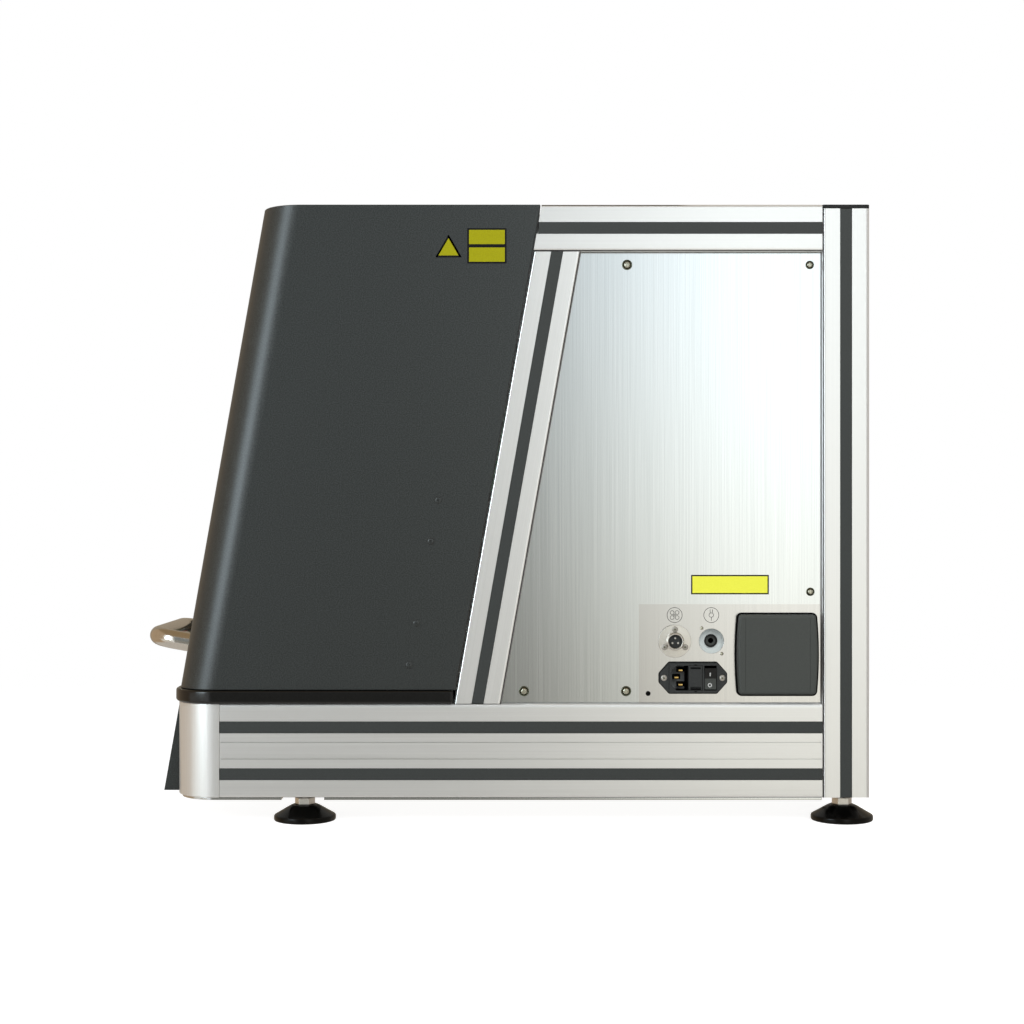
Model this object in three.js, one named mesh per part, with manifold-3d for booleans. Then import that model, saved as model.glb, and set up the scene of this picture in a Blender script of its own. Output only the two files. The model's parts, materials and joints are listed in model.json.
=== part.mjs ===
// A bench laser marking machine. A frame of T-slot extrusions carries closed side, rear and top panels,
// and a U-shaped hood slides up two leaning posts to open the marking chamber from the front.
// Millimetres, +Z up, front towards -Y. In the machine group Y counts back from the base's front face.

import * as THREE from 'three';
import { mergeVertices } from 'three/addons/utils/BufferGeometryUtils.js';
import Module from 'manifold-3d';

const wasm = await Module();
wasm.setup();

// Driving dimensions of the whole machine
const machineWidth = 560;
const machineHeight = 595;
const frameDepth = 670;
const baseLift = 25;
const leanDegrees = 10;
const seat = 0.3;
const runningGap = 0.3;
const cutOver = 5;

// T-slot extrusion
const profileSize = 45;
const profileRound = 2;
const slotMouth = 11.5;
const slotLip = 4.5;
const slotCavity = 20;
const slotShoulder = 8;
const slotFloor = 11;
const slotDepth = 13;
const cornerRadius = 40;
const cornerWall = 4;
const capHeight = 3.5;
const capPegLength = 10;

// Sheet panels
const panelSheet = 2;
const panelRecess = 8;
const panelFlange = 14;
const floorSheet = 2.5;
const floorInset = 3;
const footNotch = 41;
const ventLength = 70;
const ventHeight = 6;
const ventPitch = 16;
const ventCount = 6;
const ventBottom = 60;
const ventColumnOffset = 110;

// Hood
const hoodDepth = 270;
const hoodSetback = 1.5;
const hoodPostGap = 1.2;
const hoodSheet = 2;
const hoodTravel = 265;
const windowWidth = 300;
const windowHeight = 170;
const windowLift = 6.6;
const windowRadius = 12;
const paneThickness = 3;
const paneLap = 12;
const handleSpan = 180;
const handleReach = 62;
const handleRadius = 10;
const handleBend = 24;
const handleRise = 28.4;

// Rubber seal under the hood's lower edge
const sealHeight = 13;
const sealProud = 3;
const sealWidth = 12;
const sealRound = 2.5;

// Linear guides of the hood
const guideWidth = 15;
const guideHeight = 12.5;
const guideWaist = 11;
const guideWaistLow = 4;
const guideWaistHigh = 8;
const guideStart = 12;
const guideTopGap = 7;
const runnerWidth = 34;
const runnerHeight = 24;
const runnerClear = 4.3;
const runnerLength = 56;
const runnerSpare = 9;
const lowerRunnerRise = 58.5;
const bracketSheet = 3;
const bracketReach = 62;

// Gas springs beside the guides
const springForward = 80;
const springInset = 18;
const springTubeRadius = 9;
const springRodRadius = 4;
const springRodGap = 0.5;
const springTubeStart = 24;
const springSpare = 35;
const springTubeFloor = 12;
const springFootWidth = 14;
const springFootDepth = 26;
const springEyeRise = 14;
const springEyeSize = 18;

// Lower front panel and its controls
const frontBeamSetback = 46;
const frontSheet = 2;
const controlSpacing = 70;
const controlInset = 50;
const controlDrop = 42;
const startRadius = 11;
const startStem = 7.5;
const startCap = 4;
const startTravel = 2.5;
const startSpare = 0.5;
const stopRadius = 20;
const stopStem = 10;
const stopHead = 14;
const stopTravel = 4;
const stopSpare = 6;
const stopDome = 3;
const clipRadiusExtra = 1.5;
const clipLength = 2;

// Levelling feet
const padRadius = 30;
const padRim = 5;
const padChamfer = 1.5;
const padTopRadius = 11;
const padHeight = 15.6;
const socketRadius = 6.3;
const socketFloor = 6;
const studRadius = 5;
const studNeckRadius = 6;
const studInside = 35;
const studHoleExtra = 3;
const hexAcrossFlats = 17;
const frontFootBack = 125;

// Work table
const tableSideGap = 10;
const tableThickness = 12;
const tableSkirt = 10;
const tableGap = 5;
const tableHoleRadius = 3.2;
const tableHolePitch = 40;
const tableHoleColumns = 9;
const tableHoleRows = 3;

// Height column, its slide and screw
const columnWidth = 90;
const columnBack = 12;
const columnRib = 12;
const columnRibDepth = 28;
const columnTopGap = 9;
const columnFootLength = 66;
const columnFootWidth = 140;
const columnFootThickness = 8;
const columnFrontBack = 392;
const bearingThickness = 12;
const couplingSpace = 18;
const motorSize = 42;
const motorHeight = 40;
const motorBore = 10;
const screwRadius = 6;
const screwForward = 6;
const slideThickness = 10;
const slideHeight = 120;
const slideGap = 0.5;
const nutSize = 26;
const nutHeight = 40;
const slideUp = 70;
const slideDown = 100;
const armSize = 80;
const armWall = 5;
const armDrop = 155;
const armFlange = 8;
const armFlangeSize = 100;
const armClear = 10;
const wallBack = 3;
const wallSheet = 2;
const wallFlange = 14;

// Scan head and lens
const headWidth = 110;
const headDepth = 115;
const headHeight = 120;
const headChamfer = 18;
const lensBack = 170;
const lensRadius = 42;
const lensBarrelRadius = 36;
const lensHeight = 50;
const lensStep = 16;
const lensGlassRadius = 30;
const lensGlassDepth = 6;
const lensCollarRadius = 46;
const lensCollarHeight = 6;
const inletCollarRadius = 24;
const inletCollarLength = 10;

// Laser source and power supply on the floor sheet
const electronicsGap = 20;
const sourceColumnGap = 5;
const sourceRearGap = 25;
const sourceHeight = 92;
const finHeight = 12;
const finWidth = 4;
const finCount = 9;
const supplyColumnGap = 30;
const supplyRearGap = 70;
const supplyHeight = 50;
const supplySlotWidth = 5;
const supplySlotInset = 22.5;
const supplySlotCount = 7;
const supplySlotDepth = 3;
const electronicsBack = 340;

// Fan, its rotor and its cover
const fanSize = 80;
const fanDepth = 25;
const fanBore = 76;
const fanRound = 5;
const fanFlangeGap = 0.8;
const fanRise = 47.2;
const fanHubRadius = 17;
const fanStrut = 5;
const fanStrutDepth = 3.5;
const fanPinRadius = 2;
const fanPinLength = 14;
const rotorTipGap = 1.5;
const rotorDepth = 19;
const rotorGap = 0.6;
const bladeCount = 7;
const bladeThickness = 1.6;
const bladeChord = 21;
const bladePitchDegrees = 52;
const coverWidth = 77;
const coverHeight = 80.3;
const coverBulge = 2;
const coverRound = 4;
const coverBase = 2.5;
const coverAirGap = 3;
const coverCap = 8.7;
const coverWall = 2;
const coverInset = 1.6;
const coverBevel = 2.5;
const coverPillar = 9;

// Power inlet with its fuse drawer and rocker switch
const inletSetback = 169;
const inletRise = 24.6;
const inletLength = 66.2;
const inletHeight = 31;
const inletFlat = 46.5;
const inletEarHeight = 9;
const inletFlange = 3;
const inletRim = 1.2;
const inletRimInset = 1.5;
const inletBody = 30;
const inletBodyInset = 2;
const plugWidth = 16.2;
const plugHeight = 24;
const plugChamfer = 5;
const plugDepth = 17;
const plugOffset = 13;
const pinHeight = 2;
const pinWidth = 5;
const pinLength = 12;
const pinSpread = 7;
const pinShift = 4;
const fuseWidth = 13.2;
const fuseHeight = 23.4;
const fuseTravel = 16;
const fuseHold = 2;
const fuseOffset = 2.2;
const fuseGrip = 1.6;
const fuseGripHeight = 3;
const rockerWidth = 11.4;
const rockerHeight = 21;
const rockerDepth = 9;
const rockerSlant = 1.6;
const rockerPocketHeight = 24;
const rockerPocketDepth = 14;
const rockerOffset = 16.6;
const rockerPivotDepth = 5;
const rockerDegrees = 8;

// Round sockets above the inlet
const socketRise = 59.9;
const controlSocketSetback = 186.5;
const controlFlangeRadius = 15.8;
const controlFlange = 2;
const controlBarrelRadius = 8.3;
const controlBarrelProud = 6;
const controlBarrelWall = 1.8;
const controlMouthDepth = 11;
const controlBodyLength = 22;
const controlPinRadius = 0.9;
const controlPinLength = 5.3;
const controlPinCircle = 3.3;
const controlPinCount = 3;
const dataSocketSetback = 151;
const dataHoleRadius = 12;
const dataBodyRadius = 14.5;
const dataBodyLength = 26;
const dataCupDepth = 8;
const dataBarrelRadius = 6.3;
const dataBarrelLength = 4;
const dataBoreRadius = 2.4;
const dataBoreDepth = 10;

// Round shapes are faceted with these counts
const roundSegments = 24;
const smallRoundSegments = 10;
const pinSegments = 6;
const hexSides = 6;
const cornerSegments = 1;
const sheetCornerSegments = 2;
const hoodCornerSegments = 5;
const handleSteps = 28;
const handleSegments = 6;
const coverSegments = 4;

// Bores whose flats clear the pin that turns in them
const flatShare = Math.cos(Math.PI / smallRoundSegments);
const screwHoleRadius = (screwRadius + runningGap) / flatShare;
const studBoreRadius = (studRadius + runningGap) / flatShare;
const fanBoreRadius = (fanPinRadius + runningGap) / flatShare;

// Places that follow from the sizes above
const lean = THREE.MathUtils.degToRad(leanDegrees);
const slope = Math.tan(lean);
const halfWidth = machineWidth / 2;
const innerHalf = halfWidth - profileSize;
const profileCentre = halfWidth - profileSize / 2;
const baseHeight = 2 * profileSize;
const baseTop = baseLift + baseHeight;
const topRailLow = machineHeight - profileSize;
const rearPostFront = frameDepth - profileSize;
const hoodLow = baseTop + sealHeight + seat;
const postFront = hoodSetback + hoodDepth + hoodPostGap - sealHeight * slope;
const hoodFace = -(hoodDepth + hoodPostGap) * Math.cos(lean);
const panelOuter = halfWidth - panelRecess;
const panelInner = panelOuter - panelSheet;
const floorTop = baseLift - seat;
const innerFit = innerHalf - seat;
const coverUnder = machineHeight - panelRecess - panelSheet;
const columnTop = coverUnder - columnTopGap;
const armHeight = machineHeight - armDrop;
const tableWidth = 2 * (innerHalf - tableSideGap);
const guideLength = slantRise(machineHeight - baseTop) - guideTopGap - guideStart;
const guideEnd = guideStart + guideLength;
const runnerPitch = guideEnd - runnerSpare - hoodTravel - runnerLength / 2 - lowerRunnerRise;
const springTubeLength = hoodTravel + springSpare;
const startProud = startCap + startTravel + startSpare;
const stopProud = stopHead + stopTravel + stopSpare;
const controlOffset = innerHalf - controlInset;
const stopPlace = controlSpacing - controlOffset;
const controlRise = hoodRiseAt(baseTop) - controlDrop;
const windowRise = (hoodRiseAt(hoodLow) + hoodRiseAt(machineHeight)) / 2 + windowLift;
const fuseDepth = fuseTravel + fuseHold;
const inletBack = frameDepth - inletSetback;
const controlSocketBack = frameDepth - controlSocketSetback;
const dataSocketBack = frameDepth - dataSocketSetback;
const sourceSide = innerHalf - electronicsGap;
const sourceWidth = sourceSide - columnFootWidth / 2 - sourceColumnGap;
const sourceLength = rearPostFront - sourceRearGap - electronicsBack;
const supplySide = innerHalf - electronicsGap;
const supplyWidth = supplySide - columnFootWidth / 2 - supplyColumnGap;
const supplyLength = rearPostFront - supplyRearGap - electronicsBack;
const supplySlotLength = supplyWidth - 2 * supplySlotInset;

// Height along the leaning face, for a level height above the base top
function slantRise(height) {
  return height / Math.cos(lean);
}

// Place along the hood's front plane in the leaning group, for a height above the ground
function hoodRiseAt(height) {
  return slantRise(height - baseTop) - (hoodDepth + hoodPostGap) * Math.sin(lean);
}

// Distance back of the leaning plane through the posts' front faces, at a height above the ground
function postPlane(height) {
  return postFront + (height - baseTop) * slope;
}

// Distance back of the hood's front plane at a height above the ground
function hoodPlane(height) {
  return postPlane(height) - hoodDepth - hoodPostGap;
}

const sides = [
  { name: 'right', sign: 1 },
  { name: 'left', sign: -1 },
];

// Finishes
function finish(color, roughness, metalness) {
  return new THREE.MeshStandardMaterial({ color, roughness, metalness, flatShading: true });
}

const aluminium = finish(0xd9d8d3, 0.42, 0.9);
const brushedSheet = finish(0xc9cccd, 0.38, 0.9);
const hoodPaint = finish(0x3e4241, 0.62, 0.2);
const darkSheet = finish(0x363937, 0.65, 0.2);
const blackRubber = finish(0x161616, 0.8, 0);
const blackPlastic = finish(0x2b2c2b, 0.55, 0);
const polishedSteel = finish(0xd5d2cb, 0.18, 1);
const steel = finish(0x9b9c9a, 0.35, 0.95);
const safetyPane = finish(0x2f6b3c, 0.1, 0);
const redPlastic = finish(0xb32018, 0.45, 0);
const greenPlastic = finish(0x2c8a44, 0.45, 0);
const blackAnodised = finish(0x202225, 0.4, 0.6);
const palePlastic = finish(0xb9c4c4, 0.5, 0);

// Turning a closed geometry into a solid for cuts and joins, and back
function toSolid(geometry) {
  const bare = geometry.clone();
  bare.deleteAttribute('normal');
  bare.deleteAttribute('uv');
  const welded = mergeVertices(bare);
  return new wasm.Manifold(new wasm.Mesh({
    numProp: 3,
    vertProperties: new Float32Array(welded.attributes.position.array),
    triVerts: new Uint32Array(welded.index.array),
  }));
}

function toGeometry(solid) {
  const mesh = solid.getMesh();
  const geometry = new THREE.BufferGeometry();
  geometry.setAttribute('position', new THREE.BufferAttribute(mesh.vertProperties, 3));
  geometry.setIndex(new THREE.BufferAttribute(mesh.triVerts, 1));
  geometry.computeVertexNormals();
  return geometry;
}

function join(first, ...others) {
  return others.reduce((whole, piece) => whole.add(piece), first);
}

function cut(solid, ...cutters) {
  return cutters.reduce((whole, cutter) => whole.subtract(cutter), solid);
}

// Outlines
function polygon(points) {
  return new THREE.Shape(points.map(([x, y]) => new THREE.Vector2(x, y)));
}

function roundedRectangle(width, height, radius) {
  const x = width / 2;
  const y = height / 2;
  const quarter = Math.PI / 2;
  const shape = new THREE.Shape();
  shape.absarc(x - radius, y - radius, radius, 0, quarter);
  shape.absarc(radius - x, y - radius, radius, quarter, 2 * quarter);
  shape.absarc(radius - x, radius - y, radius, 2 * quarter, 3 * quarter);
  shape.absarc(x - radius, radius - y, radius, 3 * quarter, 4 * quarter);
  shape.closePath();
  return shape;
}

// Prisms: the outline lies across the named axis and the ends are the given places on it
function extrusion(shape, from, to, segments) {
  const geometry = new THREE.ExtrudeGeometry(shape, {
    depth: Math.abs(to - from),
    bevelEnabled: false,
    curveSegments: segments,
  });
  geometry.translate(0, 0, Math.min(from, to));
  return geometry;
}

function prismZ(shape, from, to, segments = cornerSegments) {
  return toSolid(extrusion(shape, from, to, segments));
}

// Turns a prism so that its outline's x runs along Y and its outline's y along Z
function turnedAcross(geometry) {
  return geometry.applyMatrix4(new THREE.Matrix4().makeBasis(
    new THREE.Vector3(0, 1, 0),
    new THREE.Vector3(0, 0, 1),
    new THREE.Vector3(1, 0, 0),
  ));
}

function prismX(shape, from, to, segments = cornerSegments) {
  return toSolid(turnedAcross(extrusion(shape, from, to, segments)));
}

// The outline's x runs along X and its y along Z
function prismY(shape, from, to, segments = cornerSegments) {
  return toSolid(extrusion(shape, -from, -to, segments).rotateX(Math.PI / 2));
}

function block(x, y, z) {
  const geometry = new THREE.BoxGeometry(
    Math.abs(x[1] - x[0]),
    Math.abs(y[1] - y[0]),
    Math.abs(z[1] - z[0]),
  );
  geometry.translate((x[0] + x[1]) / 2, (y[0] + y[1]) / 2, (z[0] + z[1]) / 2);
  return toSolid(geometry);
}

function rodGeometry(radius, from, to, segments) {
  const geometry = new THREE.CylinderGeometry(radius, radius, Math.abs(to - from), segments);
  geometry.translate(0, (from + to) / 2, 0);
  return geometry;
}

function rodY(x, z, radius, from, to, segments = roundSegments) {
  return toSolid(rodGeometry(radius, from, to, segments).translate(x, 0, z));
}

function rodZ(x, y, radius, from, to, segments = roundSegments) {
  return toSolid(rodGeometry(radius, from, to, segments).rotateX(Math.PI / 2).translate(x, y, 0));
}

function rodX(y, z, radius, from, to, segments = roundSegments) {
  return toSolid(rodGeometry(radius, from, to, segments).rotateZ(-Math.PI / 2).translate(0, y, z));
}

// Turned piece about Z from a list of radius and height pairs
function turnedZ(points, segments = roundSegments) {
  const profile = points.map(([radius, height]) => new THREE.Vector2(radius, height));
  return toSolid(new THREE.LatheGeometry(profile, segments).rotateX(Math.PI / 2));
}

// Turned piece about Y from a list of radius and distance pairs
function turnedY(points, segments = roundSegments) {
  const profile = points.map(([radius, distance]) => new THREE.Vector2(radius, distance));
  return toSolid(new THREE.LatheGeometry(profile, segments));
}

function moved(solid, x, y, z) {
  return toSolid(toGeometry(solid).translate(x, y, z));
}

// Scene graph: the machine group, and inside it a group that leans with the posts
const model = new THREE.Group();
const machine = new THREE.Group();
const leaning = new THREE.Group();
const barBack = hoodPlane(hoodLow) + handleRise * Math.sin(lean) - handleReach * Math.cos(lean);
const frontReach = handleRadius - barBack;
const rearReach = frameDepth - profileSize / 2 + padRadius;
machine.position.y = (frontReach - rearReach) / 2;
leaning.position.set(0, postFront, baseTop);
leaning.rotation.x = -lean;
machine.add(leaning);
model.add(machine);

function addPart(parent, name, solid, material) {
  const mesh = new THREE.Mesh(toGeometry(solid), material);
  mesh.name = name;
  parent.add(mesh);
  return mesh;
}

// A cutter built in the leaning group, carried over into the machine group
leaning.updateMatrix();
function fromLeaning(solid) {
  return toSolid(toGeometry(solid).applyMatrix4(leaning.matrix));
}

// The level slab between two heights above the base top, seen from the leaning group
function levelSlab(low, high) {
  const reach = machineWidth + frameDepth;
  const slab = new THREE.BoxGeometry(2 * reach, 2 * reach, high - low);
  slab.translate(0, 0, (low + high) / 2);
  slab.rotateX(lean);
  return toSolid(slab);
}

// T-slot extrusion along Z with one slot on each outer face of every cell and a bore in each cell
function slotCutter(x, y, angle, length) {
  const mouth = slotMouth / 2;
  const cavity = slotCavity / 2;
  const floor = slotFloor / 2;
  const outline = polygon([
    [-mouth, cutOver],
    [-mouth, -slotLip],
    [-cavity, -slotLip],
    [-cavity, -slotShoulder],
    [-floor, -slotDepth],
    [floor, -slotDepth],
    [cavity, -slotShoulder],
    [cavity, -slotLip],
    [mouth, -slotLip],
    [mouth, cutOver],
  ]);
  const geometry = extrusion(outline, -cutOver, length + cutOver, cornerSegments);
  return toSolid(geometry.rotateZ(angle).translate(x, y, 0));
}

function slottedProfile(columns, rows, length) {
  const width = columns * profileSize;
  const height = rows * profileSize;
  const cutters = [];
  for (let column = 0; column < columns; column += 1) {
    const x = (column - (columns - 1) / 2) * profileSize;
    cutters.push(slotCutter(x, height / 2, 0, length));
    cutters.push(slotCutter(x, -height / 2, Math.PI, length));
    for (let row = 0; row < rows; row += 1) {
      const y = (row - (rows - 1) / 2) * profileSize;
      cutters.push(rodZ(x, y, studBoreRadius, -cutOver, length + cutOver, smallRoundSegments));
    }
  }
  for (let row = 0; row < rows; row += 1) {
    const y = (row - (rows - 1) / 2) * profileSize;
    cutters.push(slotCutter(width / 2, y, -Math.PI / 2, length));
    cutters.push(slotCutter(-width / 2, y, Math.PI / 2, length));
  }
  return cut(prismZ(roundedRectangle(width, height, profileRound), 0, length), ...cutters);
}

// The same extrusion laid along Y or X, centred on the given section centre
function layAlongY(profile, x, z, from) {
  return toSolid(toGeometry(profile).rotateX(-Math.PI / 2).translate(x, from, z));
}

function layAlongX(profile, y, z, from) {
  return toSolid(toGeometry(profile).rotateY(Math.PI / 2).translate(from, y, z));
}

// Frame of extrusions
function buildFrame() {
  const studHole = studInside + studHoleExtra;
  const railFrom = profileSize + seat;
  const railLength = rearPostFront - profileSize - 2 * seat;
  const postLength = machineHeight - capHeight - seat - baseLift;
  const topFront = postPlane(topRailLow) - cutOver;
  const beamLength = 2 * innerFit;
  const topCentre = machineHeight - profileSize / 2;
  const mitre = fromLeaning(block([-machineWidth, machineWidth], [-frameDepth, 0], [0, machineHeight]));
  for (const side of sides) {
    const x = side.sign * profileCentre;
    const rail = layAlongY(slottedProfile(1, 2, railLength), x, baseLift + profileSize, railFrom);
    const footHole = rodZ(x, frontFootBack, studBoreRadius, baseLift - cutOver, baseLift + studHole);
    addPart(machine, `base_rail_${side.name}`, cut(rail, footHole), aluminium);

    addPart(machine, `base_corner_${side.name}`, buildCorner(side.sign), aluminium);

    const post = moved(slottedProfile(1, 1, postLength), x, frameDepth - profileSize / 2, baseLift);
    addPart(machine, `rear_post_${side.name}`, post, aluminium);
    addPart(machine, `post_cap_${side.name}`, buildCap(x), blackPlastic);

    const topLength = rearPostFront - seat - topFront;
    const topRail = layAlongY(slottedProfile(1, 1, topLength), x, topCentre, topFront);
    addPart(machine, `top_rail_${side.name}`, cut(topRail, mitre), aluminium);

    const slantLength = slantRise(topRailLow - baseTop) + 2 * profileSize;
    const slant = moved(slottedProfile(1, 1, slantLength), x, profileSize / 2, -profileSize);
    const trimmed = slant.intersect(levelSlab(seat, topRailLow - baseTop - seat));
    addPart(leaning, `slanted_post_${side.name}`, trimmed, aluminium);
  }
  const low = baseLift + profileSize;
  const rearCentre = frameDepth - profileSize / 2;
  const frontCentre = frontBeamSetback + profileSize / 2;
  for (const [name, centre] of [['front_base_beam', frontCentre], ['rear_base_beam', rearCentre]]) {
    const beam = layAlongX(slottedProfile(2, 1, beamLength), centre, low, -innerFit);
    addPart(machine, name, beam, aluminium);
  }
  const topBeam = layAlongX(slottedProfile(1, 1, beamLength), rearCentre, topCentre, -innerFit);
  addPart(machine, 'rear_top_beam', topBeam, aluminium);
}

// Quarter-round corner extrusion: a square with one large outer radius, hollow inside
function cornerOutline(sign, inset) {
  const inner = sign * (innerHalf + inset);
  const outer = sign * (halfWidth - inset);
  const back = profileSize - inset;
  const radius = cornerRadius - inset;
  const shape = new THREE.Shape();
  shape.moveTo(inner, back);
  shape.lineTo(inner, inset);
  shape.lineTo(outer - sign * radius, inset);
  if (sign > 0) {
    shape.absarc(outer - radius, inset + radius, radius, -Math.PI / 2, 0);
  } else {
    shape.absarc(outer + radius, inset + radius, radius, -Math.PI / 2, Math.PI, true);
  }
  shape.lineTo(outer, back);
  shape.closePath();
  return shape;
}

function buildCorner(sign) {
  const outside = cornerOutline(sign, 0);
  const inside = cornerOutline(sign, cornerWall);
  return cut(
    prismZ(outside, baseLift, baseTop, hoodCornerSegments),
    prismZ(inside, baseLift - cutOver, baseTop + cutOver, hoodCornerSegments),
  );
}

function buildCap(x) {
  const y = frameDepth - profileSize / 2;
  const low = machineHeight - capHeight;
  const plate = prismZ(roundedRectangle(profileSize, profileSize, profileRound), low, machineHeight);
  const pegTop = machineHeight - capHeight / 2;
  const peg = rodZ(x, y, studRadius, low - capPegLength, pegTop, smallRoundSegments);
  return join(moved(plate, x, y, 0), peg);
}

// Sheet panels with folded flanges
function foldedPanel(outline, inner, from, face, deep) {
  const whole = prismX(polygon(outline), face, deep);
  const pocket = prismX(polygon(inner), from, deep + Math.sign(deep - face) * cutOver);
  return cut(whole, pocket);
}

function buildSidePanel(sign) {
  const low = baseTop + seat;
  const high = topRailLow - seat;
  const rear = rearPostFront - seat;
  const frontLow = postPlane(low) + profileSize / Math.cos(lean) + seat;
  const frontHigh = postPlane(high) + profileSize / Math.cos(lean) + seat;
  const sheetAlong = panelSheet / Math.cos(lean);
  const outline = [[frontLow, low], [rear, low], [rear, high], [frontHigh, high]];
  const pocket = [
    [frontLow + sheetAlong + panelSheet * slope, low + panelSheet],
    [rear - panelSheet, low + panelSheet],
    [rear - panelSheet, high - panelSheet],
    [frontHigh + sheetAlong - panelSheet * slope, high - panelSheet],
  ];
  const deep = panelOuter - panelFlange;
  return foldedPanel(outline, pocket, sign * panelInner, sign * panelOuter, sign * deep);
}

function buildPanels() {
  const fan = fanPlace();
  const through = [panelInner - cutOver, panelOuter + cutOver];
  const rightPanel = cut(
    buildSidePanel(1),
    rodX(fan.y, fan.z, fanBore / 2, ...through),
    block(
      through,
      [inletBack - inletFlat / 2 - seat, inletBack + inletFlat / 2 + seat],
      [baseTop + inletRise - inletBodyHalf() - seat, baseTop + inletRise + inletBodyHalf() + seat],
    ),
    rodX(controlSocketBack, baseTop + socketRise, controlBarrelRadius + seat, ...through),
    rodX(dataSocketBack, baseTop + socketRise, dataHoleRadius, ...through),
  );
  addPart(machine, 'side_panel_right', rightPanel, brushedSheet);
  addPart(machine, 'side_panel_left', buildSidePanel(-1), brushedSheet);
  addPart(machine, 'rear_panel', buildRearPanel(), brushedSheet);
  addPart(machine, 'top_cover', buildTopCover(), darkSheet);
  addPart(machine, 'floor_plate', buildFloor(), darkSheet);
  addPart(leaning, 'chamber_wall', buildChamberWall(), darkSheet);
}

function buildRearPanel() {
  const low = baseTop + seat;
  const high = topRailLow - seat;
  const face = frameDepth - panelRecess;
  const front = face - panelFlange;
  const sheet = block([-innerFit, innerFit], [front, face], [low, high]);
  const pocket = block(
    [panelSheet - innerFit, innerFit - panelSheet],
    [front - cutOver, face - panelSheet],
    [low + panelSheet, high - panelSheet],
  );
  const vents = [];
  for (const side of sides) {
    for (let row = 0; row < ventCount; row += 1) {
      const outline = roundedRectangle(ventLength, ventHeight, ventHeight / 2);
      const vent = prismY(outline, front, face + cutOver);
      const rise = baseTop + ventBottom + row * ventPitch;
      vents.push(moved(vent, side.sign * ventColumnOffset, 0, rise));
    }
  }
  return cut(sheet, pocket, ...vents);
}

function buildTopCover() {
  const high = machineHeight - panelRecess;
  const low = high - panelFlange;
  const front = postPlane(high) + seat;
  const rear = rearPostFront - seat;
  const relief = postPlane(high) + (wallBack + wallSheet) / Math.cos(lean) + seat;
  const sheet = block([-innerFit, innerFit], [front, rear], [low, high]);
  const pocket = block(
    [panelSheet - innerFit, innerFit - panelSheet],
    [front - cutOver, rear - panelSheet],
    [low - cutOver, coverUnder],
  );
  const step = block([-halfWidth, halfWidth], [front - cutOver, relief], [low - cutOver, coverUnder]);
  return cut(sheet, pocket, step);
}

function buildFloor() {
  const x = halfWidth - floorInset;
  const radius = cornerRadius - floorInset;
  const rear = rearPostFront - seat;
  const shape = new THREE.Shape();
  shape.moveTo(x, rear);
  shape.lineTo(-x, rear);
  shape.lineTo(-x, floorInset + radius);
  shape.absarc(radius - x, floorInset + radius, radius, Math.PI, 1.5 * Math.PI);
  shape.absarc(x - radius, floorInset + radius, radius, 1.5 * Math.PI, 2 * Math.PI);
  shape.closePath();
  const plate = prismZ(shape, floorTop - floorSheet, floorTop, hoodCornerSegments);
  const notches = sides.map((side) => block(
    [side.sign * (profileCentre - footNotch / 2), side.sign * (halfWidth + cutOver)],
    [frontFootBack - footNotch / 2, frontFootBack + footNotch / 2],
    [floorTop - floorSheet - cutOver, floorTop + cutOver],
  ));
  return cut(plate, ...notches);
}

// Leaning wall behind the chamber, with the slot that the scan head's arm passes through
function buildChamberWall() {
  const rear = wallBack + wallSheet;
  const topRise = slantRise(machineHeight - baseTop);
  const plate = block([-innerFit, innerFit], [wallBack, wallBack + wallFlange], [-profileSize, topRise]);
  const pocket = block(
    [wallSheet - innerFit, innerFit - wallSheet],
    [rear, wallBack + wallFlange + cutOver],
    [-profileSize - cutOver, topRise + cutOver],
  );
  const overRails = block(
    [-halfWidth, halfWidth],
    [rear, wallBack + wallFlange + cutOver],
    [slantRise(topRailLow - baseTop) - wallFlange, topRise + cutOver],
  );
  const slotHalf = armSize / 2 + armClear;
  const slotLow = armHeight - slideDown - slotHalf - baseTop;
  const slotHigh = armHeight + slideUp + slotHalf - baseTop;
  const slot = block(
    [-slotHalf, slotHalf],
    [wallBack - cutOver, rear + cutOver],
    [slantRise(slotLow), slantRise(slotHigh)],
  );
  const trimmed = plate.intersect(levelSlab(seat, coverUnder - seat - baseTop));
  return cut(trimmed, pocket, overRails, slot);
}

// Outline of a U that is open to the rear, with rounded front corners
function openOutline(half, front, rear, radius, wall) {
  const shape = new THREE.Shape();
  const inner = half - wall;
  const innerRadius = Math.max(radius - wall, 0);
  const innerFront = front + wall + innerRadius;
  shape.moveTo(half, rear);
  shape.lineTo(inner, rear);
  shape.lineTo(inner, innerFront);
  shape.absarc(inner - innerRadius, innerFront, innerRadius, 0, -Math.PI / 2, true);
  shape.absarc(innerRadius - inner, innerFront, innerRadius, -Math.PI / 2, -Math.PI, true);
  shape.lineTo(-inner, rear);
  shape.lineTo(-half, rear);
  shape.lineTo(-half, front + radius);
  shape.absarc(radius - half, front + radius, radius, Math.PI, 1.5 * Math.PI);
  shape.absarc(half - radius, front + radius, radius, 1.5 * Math.PI, 2 * Math.PI);
  shape.closePath();
  return shape;
}

function fullOutline(half, front, rear, radius) {
  const shape = new THREE.Shape();
  shape.moveTo(half, rear);
  shape.lineTo(-half, rear);
  shape.lineTo(-half, front + radius);
  shape.absarc(radius - half, front + radius, radius, Math.PI, 1.5 * Math.PI);
  shape.absarc(half - radius, front + radius, radius, 1.5 * Math.PI, 2 * Math.PI);
  shape.closePath();
  return shape;
}

// The hood is the same level outline at every height, pushed back as it rises
function sheared(shape, low, high) {
  const geometry = extrusion(shape, low - baseTop, high - baseTop, hoodCornerSegments);
  geometry.applyMatrix4(new THREE.Matrix4().makeShear(0, 0, 0, 0, 0, slope));
  return toSolid(geometry.translate(0, 0, baseTop));
}

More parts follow.
